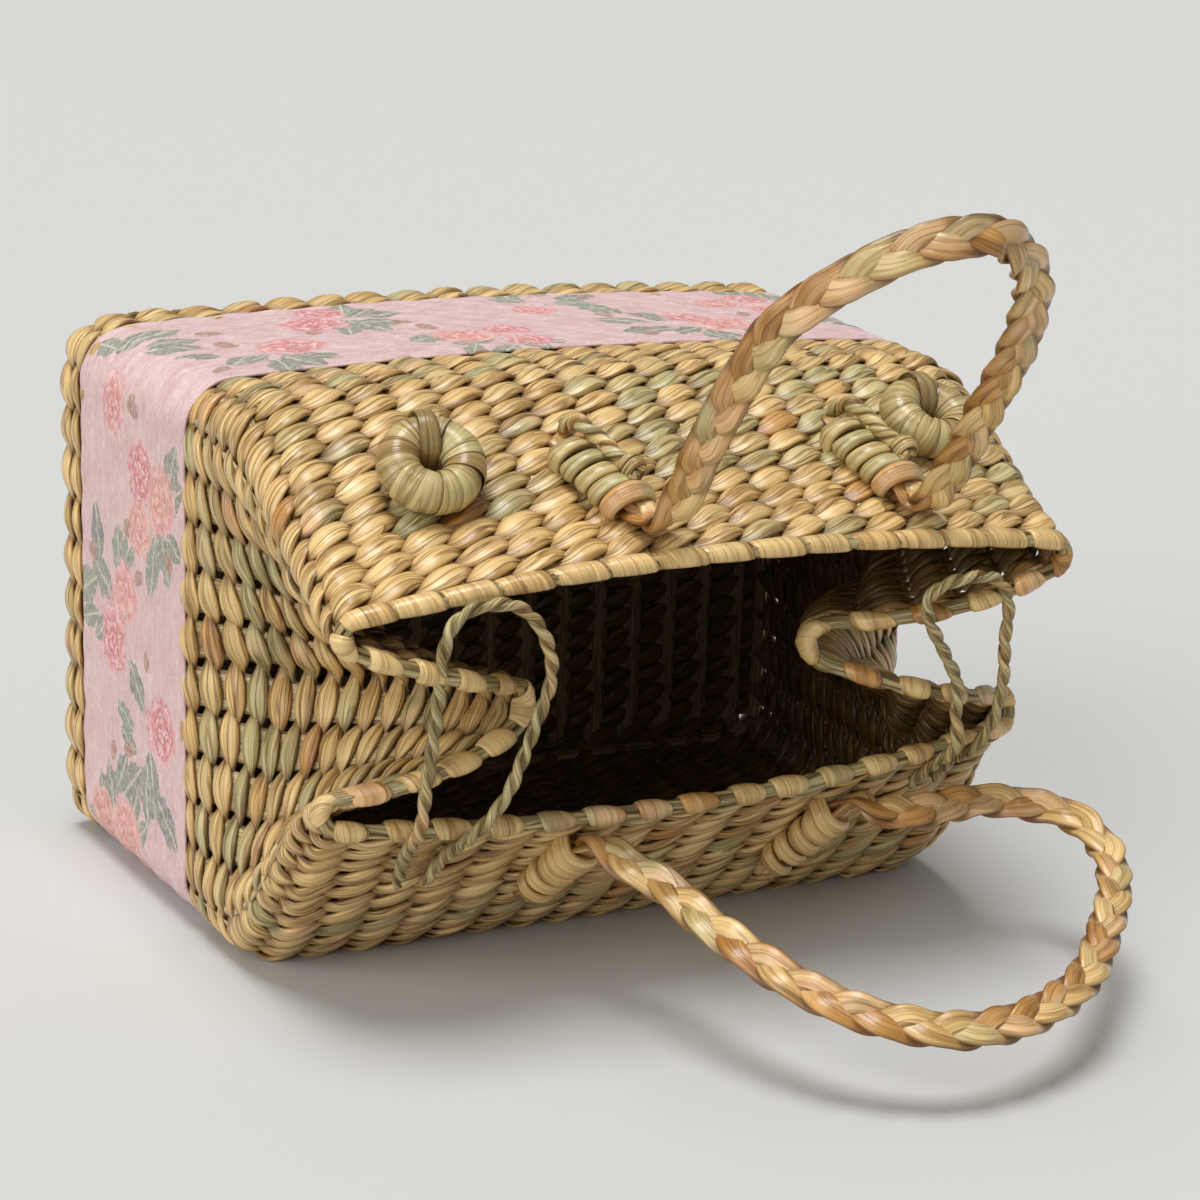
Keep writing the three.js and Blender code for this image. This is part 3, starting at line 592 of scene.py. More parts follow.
# %% Twined rows
STAKES = 58
STAKE_PITCH = ROUND_LENGTH / STAKES
STRAND_TONES = [0.2, 0.32, 0.42, 0.5, 0.64, 0.72, 0.84]
STRAND_SHARES = [0.08, 0.2, 0.26, 0.16, 0.14, 0.08, 0.08]
OPEN_ROW = dict(steps=14, sides=14, middle_depth=-2.4, reach=2.4, slant=3.4, narrow=4.2, width=12.4, thin=2.4,
                plump=4.2, tilt=0.14)
EDGE_OF_PAPER = dict(OPEN_ROW, middle_depth=-2.8, reach=2.0, plump=3.0, tilt=0.0)
PAPERED_ROW = dict(OPEN_ROW, steps=8, sides=8, middle_depth=-3.1, reach=1.7, thin=2.0, plump=2.4, tilt=0.0)
EDGE_ROW = dict(OPEN_ROW, steps=12, sides=12, middle_depth=-2.6, reach=2.6, slant=3.6, narrow=5.0, width=14.8,
                plump=4.8)
BASE_ROW = dict(PAPERED_ROW, middle_depth=-2.7, reach=1.5)
FIRST_OPEN_ROW = 14


def strand_tones(rng, count, passes, strand_tone):
    """One tone for each pass: mostly the strand's own, sometimes that of a newly laid in blade."""
    own = np.repeat(rng.choice(STRAND_TONES, count // 4 + 1, p=STRAND_SHARES), 4)[:count]
    tones = np.clip(mix(own, strand_tone, 0.25) + rng.normal(0, 0.05, count), 0.06, 0.9)
    bright = rng.random(count) < 0.03
    tones[bright] = rng.uniform(0.86, 0.97, bright.sum())
    return tones[passes % count]


def end_wall_share(place):
    """1 on the two end walls and 0 on the broad ones, eased over 25 mm inside each end wall."""
    share = 0 * place
    for first, last in ((BROAD_COLUMNS, LOWER_START), (LOWER_START + BROAD_COLUMNS, COLUMNS)):
        inside = np.minimum(place - COLUMN_PLACE[first], COLUMN_PLACE[last] - place)
        share = share + np.clip(inside / 25, 0, 1)
    return share


def twined_strand(rng, strand, surface, middle, size, start, count, pitch, closed):
    """One strand of a twined row. Phase is pi times the stakes passed, and hidden is how far the
    strand is from its nearest pass in front: 0 there and 1 behind a stake. The strand is outside by the
    cosine of pi times hidden to the power 1.25, shifted along the stakes by minus the sine of its phase, and
    each pass is a lens: 1 less hidden over the lens's half length, to the power 2.3. A closed strand starts
    and ends behind a stake, where its join can't be seen."""
    steps = size["steps"]
    point_count = count * steps if closed else (count - 1) * steps + 1
    passed = np.arange(point_count) / steps + int(closed and strand == 0)
    whole = np.floor(passed).astype(int)
    ease = 0.5 - 0.5 * np.cos(math.pi * (passed - whole))

    def varied(low, high):
        """A random value for each stake passed, eased from one to the next by half a cosine."""
        values = rng.uniform(low, high, count)
        return mix(values[whole % count], values[(whole + 1) % count], ease)

    phase = math.pi * (passed + strand)
    hidden = np.abs((passed + strand + 1) % 2 - 1)
    rise = np.cos(math.pi * hidden ** 1.25)
    calm = end_wall_share(passed * pitch) if closed else 0 * passed
    slant = size["slant"] * varied(0.85, 1.15) * (1 - 0.6 * calm)
    along = middle - slant * np.sin(phase) + varied(-0.5, 0.5)
    point, out = surface((passed + varied(-0.06, 0.06)) * pitch, along)[:2]
    high = size["reach"] * rise + varied(-0.25, 0.35)
    front_lens = size["width"] * (1 - 0.11 * calm) * (1 - (hidden / (0.82 - 0.14 * calm)) ** 2.3)
    back_lens = size["width"] * 0.85 * (1 - ((1 - hidden) / 0.52) ** 2)
    width = np.maximum(np.maximum(front_lens, back_lens), size["narrow"]) * varied(0.88, 1.08)
    thickness = mix(size["thin"], size["plump"], np.cos(phase) ** 2) * varied(0.9, 1.12)
    path = point + out * (size["middle_depth"] + high)[:, None]
    tilt = (size["tilt"] * rise + varied(-0.14, 0.14))[:, None]
    facing = out + np.cross(out, directions(path, closed)) * tilt
    passes = np.floor((passed + strand + 1) / 2).astype(int)
    tone = strand_tones(rng, count, passes, rng.choice([0.3, 0.42, 0.66]))
    sides = size["sides"]
    # high also gives the painted shade: strip makes a point darker the deeper it lies in the weave.
    return on_the_floor(strip(path, facing, width, thickness, tone, sides, closed, start + strand, 0.8, high))


def twined_row(seed, surface, middle, size, start, count=STAKES, pitch=STAKE_PITCH, closed=True):
    """The two strands of a row, on a surface that gives points and outward directions."""
    rng = np.random.default_rng(seed)
    return [twined_strand(rng, strand, surface, middle, size, start, count, pitch, closed)
            for strand in (0, 1)]


for row in range(1, ROW_COUNT + 1):
    open_row = row >= FIRST_OPEN_ROW or row == 1
    size = OPEN_ROW if open_row else EDGE_OF_PAPER if row in (2, 13) else PAPERED_ROW
    strands = twined_row(100 + row, wall, (row + 0.5) * ROW_PITCH, size, row * 2)
    make_piece(f"twined_row_{row:02d}", strands, seagrass,
               replaces=[f"weave_row_{row:02d}"])
print(ROW_COUNT, "rows of", 2 * STAKES, "passes")

# %% [markdown]
# ## Stakes
# The stakes that the rows are twined round are flat bundles of split reed. They hardly show, but between
# the lobes their fine parallel lines catch the light. Each is one flat strip that follows the wall from
# the base to the rim, near half the weave's depth, and narrows where it comes near a corner of the mouth.

# %% Stakes
STAKE_POINTS, STAKE_DEPTH, STAKE_THICKNESS = 82, 2.2, 2.2
STAKE_WIDTH, STAKE_RIM_WIDTH, NEAR_CORNER = 17.5, 16.5, 24
CORNER_PLACES = COLUMN_PLACE[[0, BROAD_COLUMNS, LOWER_START, LOWER_START + BROAD_COLUMNS]]
rng = np.random.default_rng(7)
stake_along = np.linspace(4, WALL_LENGTH - 5, STAKE_POINTS)
stake_lean = lean_share(stake_along)
stake_strips = []
for stake in range(STAKES):
    point, out, _ = wall(stake * STAKE_PITCH, stake_along)
    by_corner = np.min(np.abs(short_way(stake * STAKE_PITCH - CORNER_PLACES))) < NEAR_CORNER
    width = mix(STAKE_WIDTH, STAKE_RIM_WIDTH, stake_lean) * (1 - 0.6 * stake_lean ** 0.3 * by_corner)
    # high=2.8 sets the painted shade: the stakes' outer faces stay bright, their inner faces are darker.
    stake_strips.append(strip(point - STAKE_DEPTH * out, out, width, STAKE_THICKNESS,
                              rng.uniform(0.1, 0.9), 8, start=300 + stake, high=2.8))
make_piece("stakes", stake_strips, reed)
print(len(stake_strips), "stakes")

# %% [markdown]
# ## The edge row and the base
# The row that turns the stakes up round the base is twined with thicker strands round a core of reed. The
# base inside it is woven flat: the same twined rows, worked straight across on a plane.

# %% Edge row
EDGE_MIDDLE, EDGE_CORE_MIDDLE, EDGE_CORE_DEPTH = 5.9, 5.0, 4.4
EDGE_CORE_WIDTH, EDGE_CORE_THICKNESS, EDGE_CORE_POINTS = 13.0, 6.4, 480
edge_strands = twined_row(50, wall, EDGE_MIDDLE, EDGE_ROW, 80)
make_piece("edge_row_twining", edge_strands, seagrass, replaces=["base_edge_row"])
core_place = np.arange(EDGE_CORE_POINTS) * ROUND_LENGTH / EDGE_CORE_POINTS
core_point, core_out, _ = wall(core_place, EDGE_CORE_MIDDLE)
edge_core = strip(core_point - EDGE_CORE_DEPTH * core_out, core_out, EDGE_CORE_WIDTH, EDGE_CORE_THICKNESS,
                  0.3, 10, True, start=85)
make_piece("edge_row_core", [edge_core], reed)

# %% Base mat
MAT_HALF_LENGTH, _, MAT_HALF_HEIGHT = (mat_high - mat_low) / 2 + 1
MAT_MIDDLE = (mat_high[2] + mat_low[2]) / 2
MAT_CORNER = BASE_CORNER_RADIUS - 6
MAT_STAKES, MAT_STAKE_POINTS, PASSES_ACROSS = 18, 30, 19
MAT_STAKE_DEPTH, MAT_STAKE_WIDTH, MAT_STAKE_THICKNESS = 2.7, 15.0, 2.6
MAT_SIDE_GAP, MAT_END_GAP = 14, 3
base_rows = math.ceil(2 * MAT_HALF_HEIGHT / ROW_PITCH)
base_pitch = 2 * MAT_HALF_HEIGHT / base_rows


def base_surface(half):
    """The base's outer face: place runs across from minus half, and along runs up from the mat's middle."""
    def surface(place, along):
        """Flat, but within 6 mm of the upper and lower edges it goes in by 0.3 of the way."""
        inset = 0.3 * np.minimum(0, MAT_HALF_HEIGHT - 6 - np.abs(along))
        point = np.stack([BODY_MIDDLE + place - half, BASE_PLANE + inset, MAT_MIDDLE + along], axis=-1)
        return point, 0 * point + [0, 1, 0]
    return surface


base_parts = []
for row in range(base_rows):
    height = (row - (base_rows - 1) / 2) * base_pitch
    into_corner = max(0.0, abs(height) + base_pitch / 2 - (MAT_HALF_HEIGHT - MAT_CORNER))
    half = MAT_HALF_LENGTH - MAT_CORNER + math.sqrt(max(MAT_CORNER ** 2 - into_corner ** 2, 4))
    base_parts += twined_row(400 + row, base_surface(half), height, BASE_ROW, 500 + row * 2, PASSES_ACROSS,
                             2 * half / (PASSES_ACROSS - 1), False)
make_piece("base_weave", base_parts, seagrass, replaces=["base_mat"])

base_stakes = []
for x in np.linspace(-MAT_HALF_LENGTH + MAT_SIDE_GAP, MAT_HALF_LENGTH - MAT_SIDE_GAP, MAT_STAKES):
    path = np.full((MAT_STAKE_POINTS, 3), [BODY_MIDDLE + x, BASE_PLANE - MAT_STAKE_DEPTH, MAT_MIDDLE])
    path[:, 2] += np.linspace(MAT_END_GAP - MAT_HALF_HEIGHT, MAT_HALF_HEIGHT - MAT_END_GAP, MAT_STAKE_POINTS)
    base_stakes.append(strip(path, 0 * path + [0, 1, 0], MAT_STAKE_WIDTH, MAT_STAKE_THICKNESS, 0.5, 8,
                             start=700 + x))
make_piece("base_stakes", base_stakes, reed)
print(base_rows, "rows in the base,", round(2 * MAT_HALF_LENGTH), "by", round(2 * MAT_HALF_HEIGHT), "mm")

# %% [markdown]
# ## The rim
# The mouth's edge ends in a bundle of straws, bound down by wide blades that each go once round it. On the
# upper lip the blades lie flat and almost meet. Elsewhere they bulge and leave the greenish bundle showing.
# A blade wound on a core is easiest to draw on the core's own surface: how far along, how far round and
# how high above it.

# %% A blade wound round a core
RIM_MIDDLE, RIM_DEPTH, BUNDLE_HALF_WIDTH, BUNDLE_HALF_HEIGHT = 324.0, 2.3, 2.0, 3.2
STRAWS, STRAW_WIDTH, STRAW_THICKNESS, BUNDLE_POINTS = 5, 4.2, 2.6, 900
BLADE_PITCH, BLADE_POINTS = 23.4, 30
FLAT_WIDTHS, FLAT_THICKNESSES = (22.5, 25), (1.3, 1.8)             # on the upper lip
BULGING_WIDTHS, BULGING_THICKNESSES = (15.5, 19.5), (2.4, 3.2)     # elsewhere
RIM_TURNS = int(round(ROUND_LENGTH / BLADE_PITCH))
RIM_PITCH = ROUND_LENGTH / RIM_TURNS


def wound_blade(core, place, angle, width, thickness, tone, sides, overlap, start, lift):
    """A strip on a core's surface. Its section shifts the place by width/2 times the cosine, and its height
    is the lift, plus thickness/2 times 0.4 more than the sine, plus overlap times the cosine, so that each
    turn's edge covers the last. Its light is painted shade: 1.6 plus 2.6 times the height over the lift, so
    the lower a point lies, the darker it is."""
    cosine, sine = oval(sides, 0.8)
    height = lift + column(thickness, place) / 2 * (0.4 + sine) + overlap * cosine
    points = core(place[:, None] + column(width, place) / 2 * cosine, angle[:, None] + 0 * cosine, height)
    around = np.append(cosine, 1) * float(np.mean(width)) / 2 + 170 * start
    return grid_part(points, path_length(points.mean(axis=1)) + 700 * start, around, tone=tone,
                     light=1.6 + 2.6 * (height - lift))


def rim_core(place, angle, lift):
    """The bundle's surface: an oval round the rim's middle line, out times cos and mouthward times sin."""
    point, out, mouthward = wall(place, RIM_MIDDLE)
    return (point + out * ((BUNDLE_HALF_WIDTH + lift) * np.cos(angle) - RIM_DEPTH)[..., None]
            + mouthward * ((BUNDLE_HALF_HEIGHT + lift) * np.sin(angle))[..., None])


def upper_share(place):
    """1 along the upper lip and 0 elsewhere, with a soft change at its two ends."""
    place = place % ROUND_LENGTH
    return float(np.clip((place + 8) / 16, 0, 1) * np.clip((BROAD_LENGTH + 8 - place) / 16, 0, 1))


rng = np.random.default_rng(61)
rim_place = np.arange(BUNDLE_POINTS) * ROUND_LENGTH / BUNDLE_POINTS
bundle_parts = []
for straw, angle in enumerate(np.arange(STRAWS) * TURN / STRAWS + 0.4):
    swirl = angle + 0.7 * np.sin(rim_place * TURN * 9 / ROUND_LENGTH + straw)
    path = rim_core(rim_place, swirl, -0.2)
    bundle_parts.append(strip(path, path - rim_core(rim_place, swirl, -1.2), STRAW_WIDTH, STRAW_THICKNESS,
                              rng.uniform(0.62, 0.78), 8, True, start=40 + straw))
make_piece("rim_bundle", bundle_parts, seagrass)

blade_parts = []
for turn in range(RIM_TURNS):
    steps = np.linspace(-0.1, 1.06, BLADE_POINTS)
    rng.random()     # one draw is passed over, so that the others keep their values
    upper = upper_share(turn * RIM_PITCH + 10)
    tone = rng.choice([0.34, 0.42, 0.5, 0.66, 0.84, 0.93], p=[0.2, 0.24, 0.2, 0.12, 0.14, 0.1])
    tone = mix(tone, rng.choice([0.36, 0.50]) + rng.uniform(-0.07, 0.04), upper)
    width = mix(rng.uniform(*BULGING_WIDTHS), rng.uniform(*FLAT_WIDTHS), upper)
    place = RIM_PITCH * (turn + 0.30 * steps) + rng.uniform(-1, 1)
    angle = -2.0 + TURN * steps
    width = width * (1 - mix(0.42, 0.05, upper) * np.sin((angle - 1.4) / 2) ** 2)
    thickness = mix(rng.uniform(*BULGING_THICKNESSES), rng.uniform(*FLAT_THICKNESSES), upper)
    blade_parts.append(wound_blade(rim_core, place, angle, width, thickness, tone, 12, 0.35, turn, 0.7))
make_piece("rim_binding_blades", blade_parts, smooth_blade, replaces=["rim_binding"])
print(RIM_TURNS, "blades round the rim")

# %% [markdown]
# ## Cords
# The two closure loops, the ties and the stitches that hold the ring toggles are all two plies of seagrass
# twisted together. Each ply is an oval strand whose middle line winds round the cord's path. A direction
# that stands off the path is carried from point to point, and only ever loses what the path's own turning
# takes from it, so the twist is even.

# %% Twisted cords
LOOP_DIAMETER, LOOP_TWIST, LOOP_GAP = 6.0, 22, 0.3     # the twist is the length of one turn
PLY_REACH, PLY_WIDTH, PLY_THICKNESS = 0.235, 0.66, 0.52     # shares of the cord's diameter
LOOPS = {
    "closure_loop_left": dict(
        root=(-119, 281.5), half_width=6, sink=2.6, foot=(-116, 303, 85), head=(319, 193),
        route=[(-17, 9), (-16, 28), (-15, 46), (-14, 64), (-14, 82), (-10, 99), (-2, 105), (6, 106),
               (15, 105), (24, 99), (32, 86), (35, 72), (30, 50), (25, 33), (20, 19), (8, 4)]),
    "closure_loop_right": dict(
        root=(127, 300), half_width=6, sink=1.5, foot=(131, 300, 93), head=(316, 182),
        route=[(-8, 6), (-11, 24), (-13, 38), (-22, 53), (-34, 72), (-36, 80), (-30, 86), (-16, 89), (-5, 88),
               (2, 83), (7, 72), (8, 57), (11, 37), (10, 20), (4, 6)]),
}


def carried_out(path, first):
    """At each point the direction before it, less its share along the path, brought back to length one."""
    out = [np.asarray(first, float)]
    for ahead in directions(path):
        out.append(square_to(out[-1], ahead))
    return np.array(out[1:])


def twisted_cord(path, first_out, diameter, pitch, rng, start, tones=(0.62, 0.8)):
    """Two plies half a turn apart: each middle line is the path plus the ply's reach times a direction that
    turns once per pitch."""
    out = carried_out(path, first_out)
    side = np.cross(out, directions(path))
    distance = path_length(path)
    parts = []
    for ply in (0, 1):
        turn = (TURN * distance / pitch + math.pi * ply)[:, None]
        away = np.cos(turn) * out + np.sin(turn) * side
        swell = diameter * (1 + 0.07 * np.sin(distance * 0.21 + ply * 2 + start))
        tone = np.clip(rng.uniform(*tones) + 0.06 * np.sin(distance * 0.045 + 3 * ply + start), 0, 1)
        parts.append(strip(path + away * PLY_REACH * diameter, away, PLY_WIDTH * swell, PLY_THICKNESS * swell,
                           tone, 10, start=start + 11 * ply))
    return parts


def loop_points(root, half_width, sink, foot, head, route):
    """A loop's chosen points: from its root under the lower wall, over the rim, round and back. route has
    distances across from the foot and up from it, in the plane that leans from the foot to the head."""
    foot_x, foot_out, foot_up = foot
    head_out, head_up = head
    route = np.array(route, float)
    share = route[:, 1] / math.hypot(head_out - foot_out, head_up - foot_up)
    standing = np.stack([BODY_MIDDLE + foot_x + route[:, 0], BASE_PLANE - mix(foot_out, head_out, share),
                         mix(foot_up, head_up, share)], axis=1)
    lift = LOOP_DIAMETER / 2 + LOOP_GAP

    def under(across, along, lower):
        """A point outside the lower wall: half a cord, the gap and lower, out from its face."""
        point, out, _ = wall(place_of("lower", across, along), along)
        return point + out * (lift + lower)

    over_rim = mix(root[1], WALL_LENGTH, 0.6)
    ends = [[under(root[0] + offset, root[1], sink),
             under(mix(root[0] + offset, target[0] - BODY_MIDDLE, 0.55), over_rim, 1)]
            for offset, target in ((-half_width, standing[0]), (half_width, standing[-1]))]
    return np.concatenate([ends[0], standing, ends[1][::-1]])


for number, (name, loop) in enumerate(LOOPS.items()):
    rng = np.random.default_rng(70 + number)
    points = loop_points(**loop)
    path = smooth_route(points, 260)
    parts = twisted_cord(path, [0.2, 0.9, 0.3], LOOP_DIAMETER, LOOP_TWIST, rng, 90 + number)
    piece = make_piece(f"{name}_cord", parts, seagrass, body=name, replaces=[name])
    tuple(points[0] * MM)
    float(path_length(path)[-1]) * MM
    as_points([tuple(point) for point in path[::4] * MM] + [tuple(path[-1] * MM)])
    print(name, "length", round(path_length(path)[-1]), "mm")

# %% [markdown]
# ## Braided handles
# Each handle is a flat braid of three strands. Across the braid a strand swings as the sine of its phase.
# It rises and falls twice as often, as the sine of twice the phase, which is what makes it pass over one
# neighbour and under the next. The three strands are a third of a turn apart. The braid's middle line comes
# from under its lashing, turns up at the foot, goes round the arch and down again.

# %% Handle routes
TAIL_LIFT, KNEE_ROOM, TAIL_LENGTH = 7, 5.4, 52
KNEE_START, KNEE_EASE = 28, 42     # how far up the arch the braid starts to lie down, and over what length
HANDLE_POINTS, BRAID_PERIOD = 520, 57.0
HANDLES = {
    "upper": dict(elevation=45, flat_side=(-0.43, -0.86, 0.27), left=(-30, 311), right=(98, 311),
                  left_tail=-52, right_tail=78,
                  route=[(0, 0), (4, 19), (-1, 54), (-4, 83), (-6, 114), (-5, 141), (3, 160), (15, 175),
                         (28, 188), (44, 195), (64, 195), (84, 180), (98, 160), (109, 132), (116, 104),
                         (121, 74), (126, 48), (129, 22), (129, 0)]),
    "lower": dict(elevation=-13, flat_side=(-0.30, -0.66, 0.69), left=(-46, 316), right=(88, 304),
                  left_tail=-60, right_tail=62,
                  route=[(0, 0), (3, 18), (10, 36), (13, 63), (18, 90), (27, 118), (38, 138), (53, 152),
                         (70, 162), (93, 165), (119, 161), (152, 146), (183, 120), (211, 92), (228, 63),
                         (229, 38), (214, 23), (193, 15), (172, 15), (154, 15), (141, 10), (136, 0)]),
}


def tail_line(level, handle, end, back):
    """Points and wall directions of a handle's tail, at distances back from its foot."""
    foot_x, foot_along = handle[end]
    across = mix(foot_x, handle[end + "_tail"], back / (KNEE_ROOM + TAIL_LENGTH))
    places = [place_of(level, x, along) for x, along in zip(across, foot_along - back)]
    point, out, _ = wall(np.array(places), foot_along - back)
    return point + out * TAIL_LIFT, out


def laid_knee(path, out, first, step, target, ease):
    """Out directions from a point of the arch down to a tail's end: carried along without twist, then turned
    about the path, over the ease distance, by the smallest angle that lays the flat side on the wall."""
    down = path[first::step]
    carried = carried_out(down, out[first])
    ahead = directions(down)
    flat = square_to(target, ahead)
    gone = path_length(down)
    turn = np.arctan2(np.sum(np.cross(carried, flat) * ahead, axis=1), np.sum(carried * flat, axis=1))
    turn = np.arctan(np.tan(turn[np.searchsorted(gone, ease)]))
    share = np.clip(gone / ease, 0, 1)
    angle = (turn * share * share * (3 - 2 * share))[:, None]
    out = out.copy()
    out[first::step] = carried * np.cos(angle) + np.cross(ahead, carried) * np.sin(angle)
    return out


def handle_line(level, handle):
    """The braid's middle line from tail to tail, the direction its flat side faces, and the hinge: the arch
    lies in the plane of the hinge line and a direction that stands up from it."""
    back = np.array([57.0, 48, 38, 28, 19, 10, 0])
    left_tail, left_out = tail_line(level, handle, "left", back)
    right_tail, right_out = tail_line(level, handle, "right", back)
    left_foot, right_foot = left_tail[-1], right_tail[-1]
    left_face, right_face = left_out[:-1].mean(axis=0), right_out[:-1].mean(axis=0)
    axis = unit(right_foot - left_foot)
    angle = math.radians(handle["elevation"])
    stand = square_to(np.array([0, -math.cos(angle), math.sin(angle)]), axis)
    route = np.array(handle["route"], float)
    route[-1, 0] = np.linalg.norm(right_foot - left_foot)
    arch = left_foot + route[:, :1] * axis + route[:, 1:] * stand
    path = smooth_route(np.concatenate([left_tail[:-1], arch, right_tail[-2::-1]]), HANDLE_POINTS)
    distance = path_length(path)
    out = square_to(unit(np.array(handle["flat_side"])), directions(path))
    for foot, face, step in ((left_foot, left_face, -1), (right_foot, right_face, 1)):
        foot_distance = distance[np.argmin(np.linalg.norm(path - foot, axis=1))]
        first = int(np.searchsorted(distance, foot_distance - KNEE_START * step))
        out = laid_knee(path, out, first, step, face, KNEE_EASE)
    return path, unit(out), (left_foot + right_foot) / 2, stand, unit(left_face), axis


# %% Three-strand braids


def braid(path, out, rng, period, slim, start, sway=4.1, rise=1.8, width=10.4, thickness=3.5):
    """Three strands, phases a third apart: across by sway times sin phase plus a little sin 3 phase, which
    keeps them longer at the braid's edges, and out by rise times sin 2 phase. One turn of phase takes one
    period of the path, which may be longer at some points than at others, and slim narrows it. Most facets
    on the braid's -X side are brown: partly the braid's own colour, partly painted shade on that side. Where
    a strand passes under its neighbour it gets a painted shadow."""
    forward = directions(path)
    distance = path_length(path)
    turns = np.concatenate([[0], np.cumsum(np.diff(distance) / (0.5 * (period[1:] + period[:-1])))])
    out = square_to(out, forward)
    across = np.cross(out, forward)
    parts = []
    for strand in range(3):
        phase = TURN * (turns + strand / 3)
        sideways = sway * slim * (np.sin(phase) + 0.12 * np.sin(3 * phase))
        middle = path + across * sideways[:, None] + out * (rise * np.sin(2 * phase))[:, None]
        facet = np.floor(phase / math.pi + 1 / 6).astype(int)
        # Facets on the -X side get brown tones: partly own colour, partly painted shade.
        brown_and_shaded = np.bincount(facet, weights=across[:, 0] * np.sin(phase)) < 0
        pale = rng.choice([0.38, 0.44, 0.82, 0.85, 0.62], len(brown_and_shaded), p=[0.26, 0.2, 0.24, 0.2, 0.1])
        brown = rng.choice([0.9, 0.93, 0.86, 0.2], len(brown_and_shaded), p=[0.3, 0.28, 0.22, 0.2])
        facet_tone = np.where(brown_and_shaded & (rng.random(len(brown_and_shaded)) < 0.7), brown, pale)
        tone = (facet_tone + rng.normal(0, 0.02, len(brown_and_shaded)))[facet]
        swell = 1 + 0.06 * np.sin(distance * 0.09 + strand * 2.1) + 0.04 * np.sin(distance * 0.23 + strand)
        swell = swell * slim * (1 - 0.14 * np.sin(phase) ** 2)
        facing = out - across * 0.16 * np.cos(phase)[:, None]
        # over gives a painted shadow where this strand passes under a neighbour.
        parts.append(on_the_floor(strip(middle, facing, width * swell, thickness * swell, tone, sides=14,
                                        start=start + 5 * strand, fullness=0.7, over=np.sin(2 * phase))))
    return parts


for number, (level, handle) in enumerate(HANDLES.items()):
    rng = np.random.default_rng(80 + number)
    path, out, hinge, stand, tail_out, axis = handle_line(level, handle)
    period = BRAID_PERIOD * (1 + 0.2 * (directions(path) @ stand) ** 2)
    gone = path_length(path)
    into_tail = np.clip((TAIL_LENGTH - np.minimum(gone, gone[-1] - gone)) / 12, 0, 1)
    parts = braid(path, out, rng, period, 1 - 0.22 * into_tail, 120 + 20 * number)
    replaced = [f"{level}_handle{tail}" for tail in ("", "_tail_left", "_tail_right")]
    piece = make_piece(f"{level}_handle_braid", parts, smooth_blade, None, replaced)
    ahead = np.cross(tail_out, axis)
    bend = unit(stand - unit(ahead * np.sign(ahead[1])))
    still, moving = (tuple((hinge + reach * bend) * MM) for reach in (-3, 7))
    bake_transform(piece)
    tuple(still)
    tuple(moving)
    print(level, "handle braid", round(gone[-1]), "mm long")

# %% [markdown]
# ## Lashings and ties
# A lashing is one flat blade that passes five times over the handle's tail, crowned because it is folded
# double. Its two ends go down into the wall. Beside each upper lashing a short twisted tie ends in a knot.

# %% Lashings
LASHING_POINTS, LASHING_PITCH, LASHING_TURNS, FIRST_COIL = 200, 8.4, 4.5, 7.5
LASHING_WIDTH, LASHING_HALF_SPAN, LASHING_HALF_RISE, LASHING_DIVE = 8.9, 10.2, 6.9, 6
LASHING_THICKNESS = {"upper": 5.0, "lower": 6.0}
LASHING_GIRTH = {"upper": 0.96, "lower": 0.86}
turn = np.linspace(-0.12, LASHING_TURNS + 0.12, LASHING_POINTS)
cosine, sine = np.cos(TURN * turn)[:, None], np.sin(TURN * turn)[:, None]
dive = np.clip((np.abs(turn - LASHING_TURNS / 2) - LASHING_TURNS / 2) / 0.12, 0, 1)[:, None]
for number, (level, handle) in enumerate(HANDLES.items()):
    for side_number, end in enumerate(("left", "right")):
        rng = np.random.default_rng(90 + 2 * number + side_number)
        back = KNEE_ROOM + FIRST_COIL + LASHING_PITCH * np.clip(turn, 0, LASHING_TURNS)
        centre, wall_out = tail_line(level, handle, end, back + 0.4 * np.sin(turn * 5 + number))
        line, _ = tail_line(level, handle, end, np.array([KNEE_ROOM, KNEE_ROOM + TAIL_LENGTH]))
        ahead = unit(line[-1] - line[0])
        across = unit(np.cross(ahead, wall_out))
        span = (LASHING_HALF_SPAN - 0.45 * turn + 0.6 * np.sin(turn * 2.1 + number + side_number))[:, None]
        rise = (LASHING_HALF_RISE - 0.28 * turn)[:, None]
        coil = LASHING_GIRTH[level] * (across * span * cosine + wall_out * rise * sine)
        path = centre + coil - wall_out * LASHING_DIVE * dive
        tone = mix(0.85, rng.uniform(0.66, 0.74), np.clip(turn / 1.6, 0, 1)) + 0.05 * np.sin(turn * 2.3)
        if level == "lower":
            tone = np.clip(rng.uniform(0.3, 0.45) + 0.12 * np.sin(turn * 2.9), 0, 1)
        facing = unit(across * cosine / 9.4 + wall_out * sine / 5.9)
        facing = facing + mix(-0.5, 0.22, np.clip(turn / 0.9, 0, 1))[:, None] * ahead
        width = LASHING_WIDTH + 0.9 * np.sin(turn * 7.1)
        blade = strip(path, facing, width, LASHING_THICKNESS[level], tone, 16, start=200 + number)
        make_piece(f"{level}_lashing_{end}_blade", [blade], smooth_blade,
                   replaces=[f"{level}_lashing_{end}"])

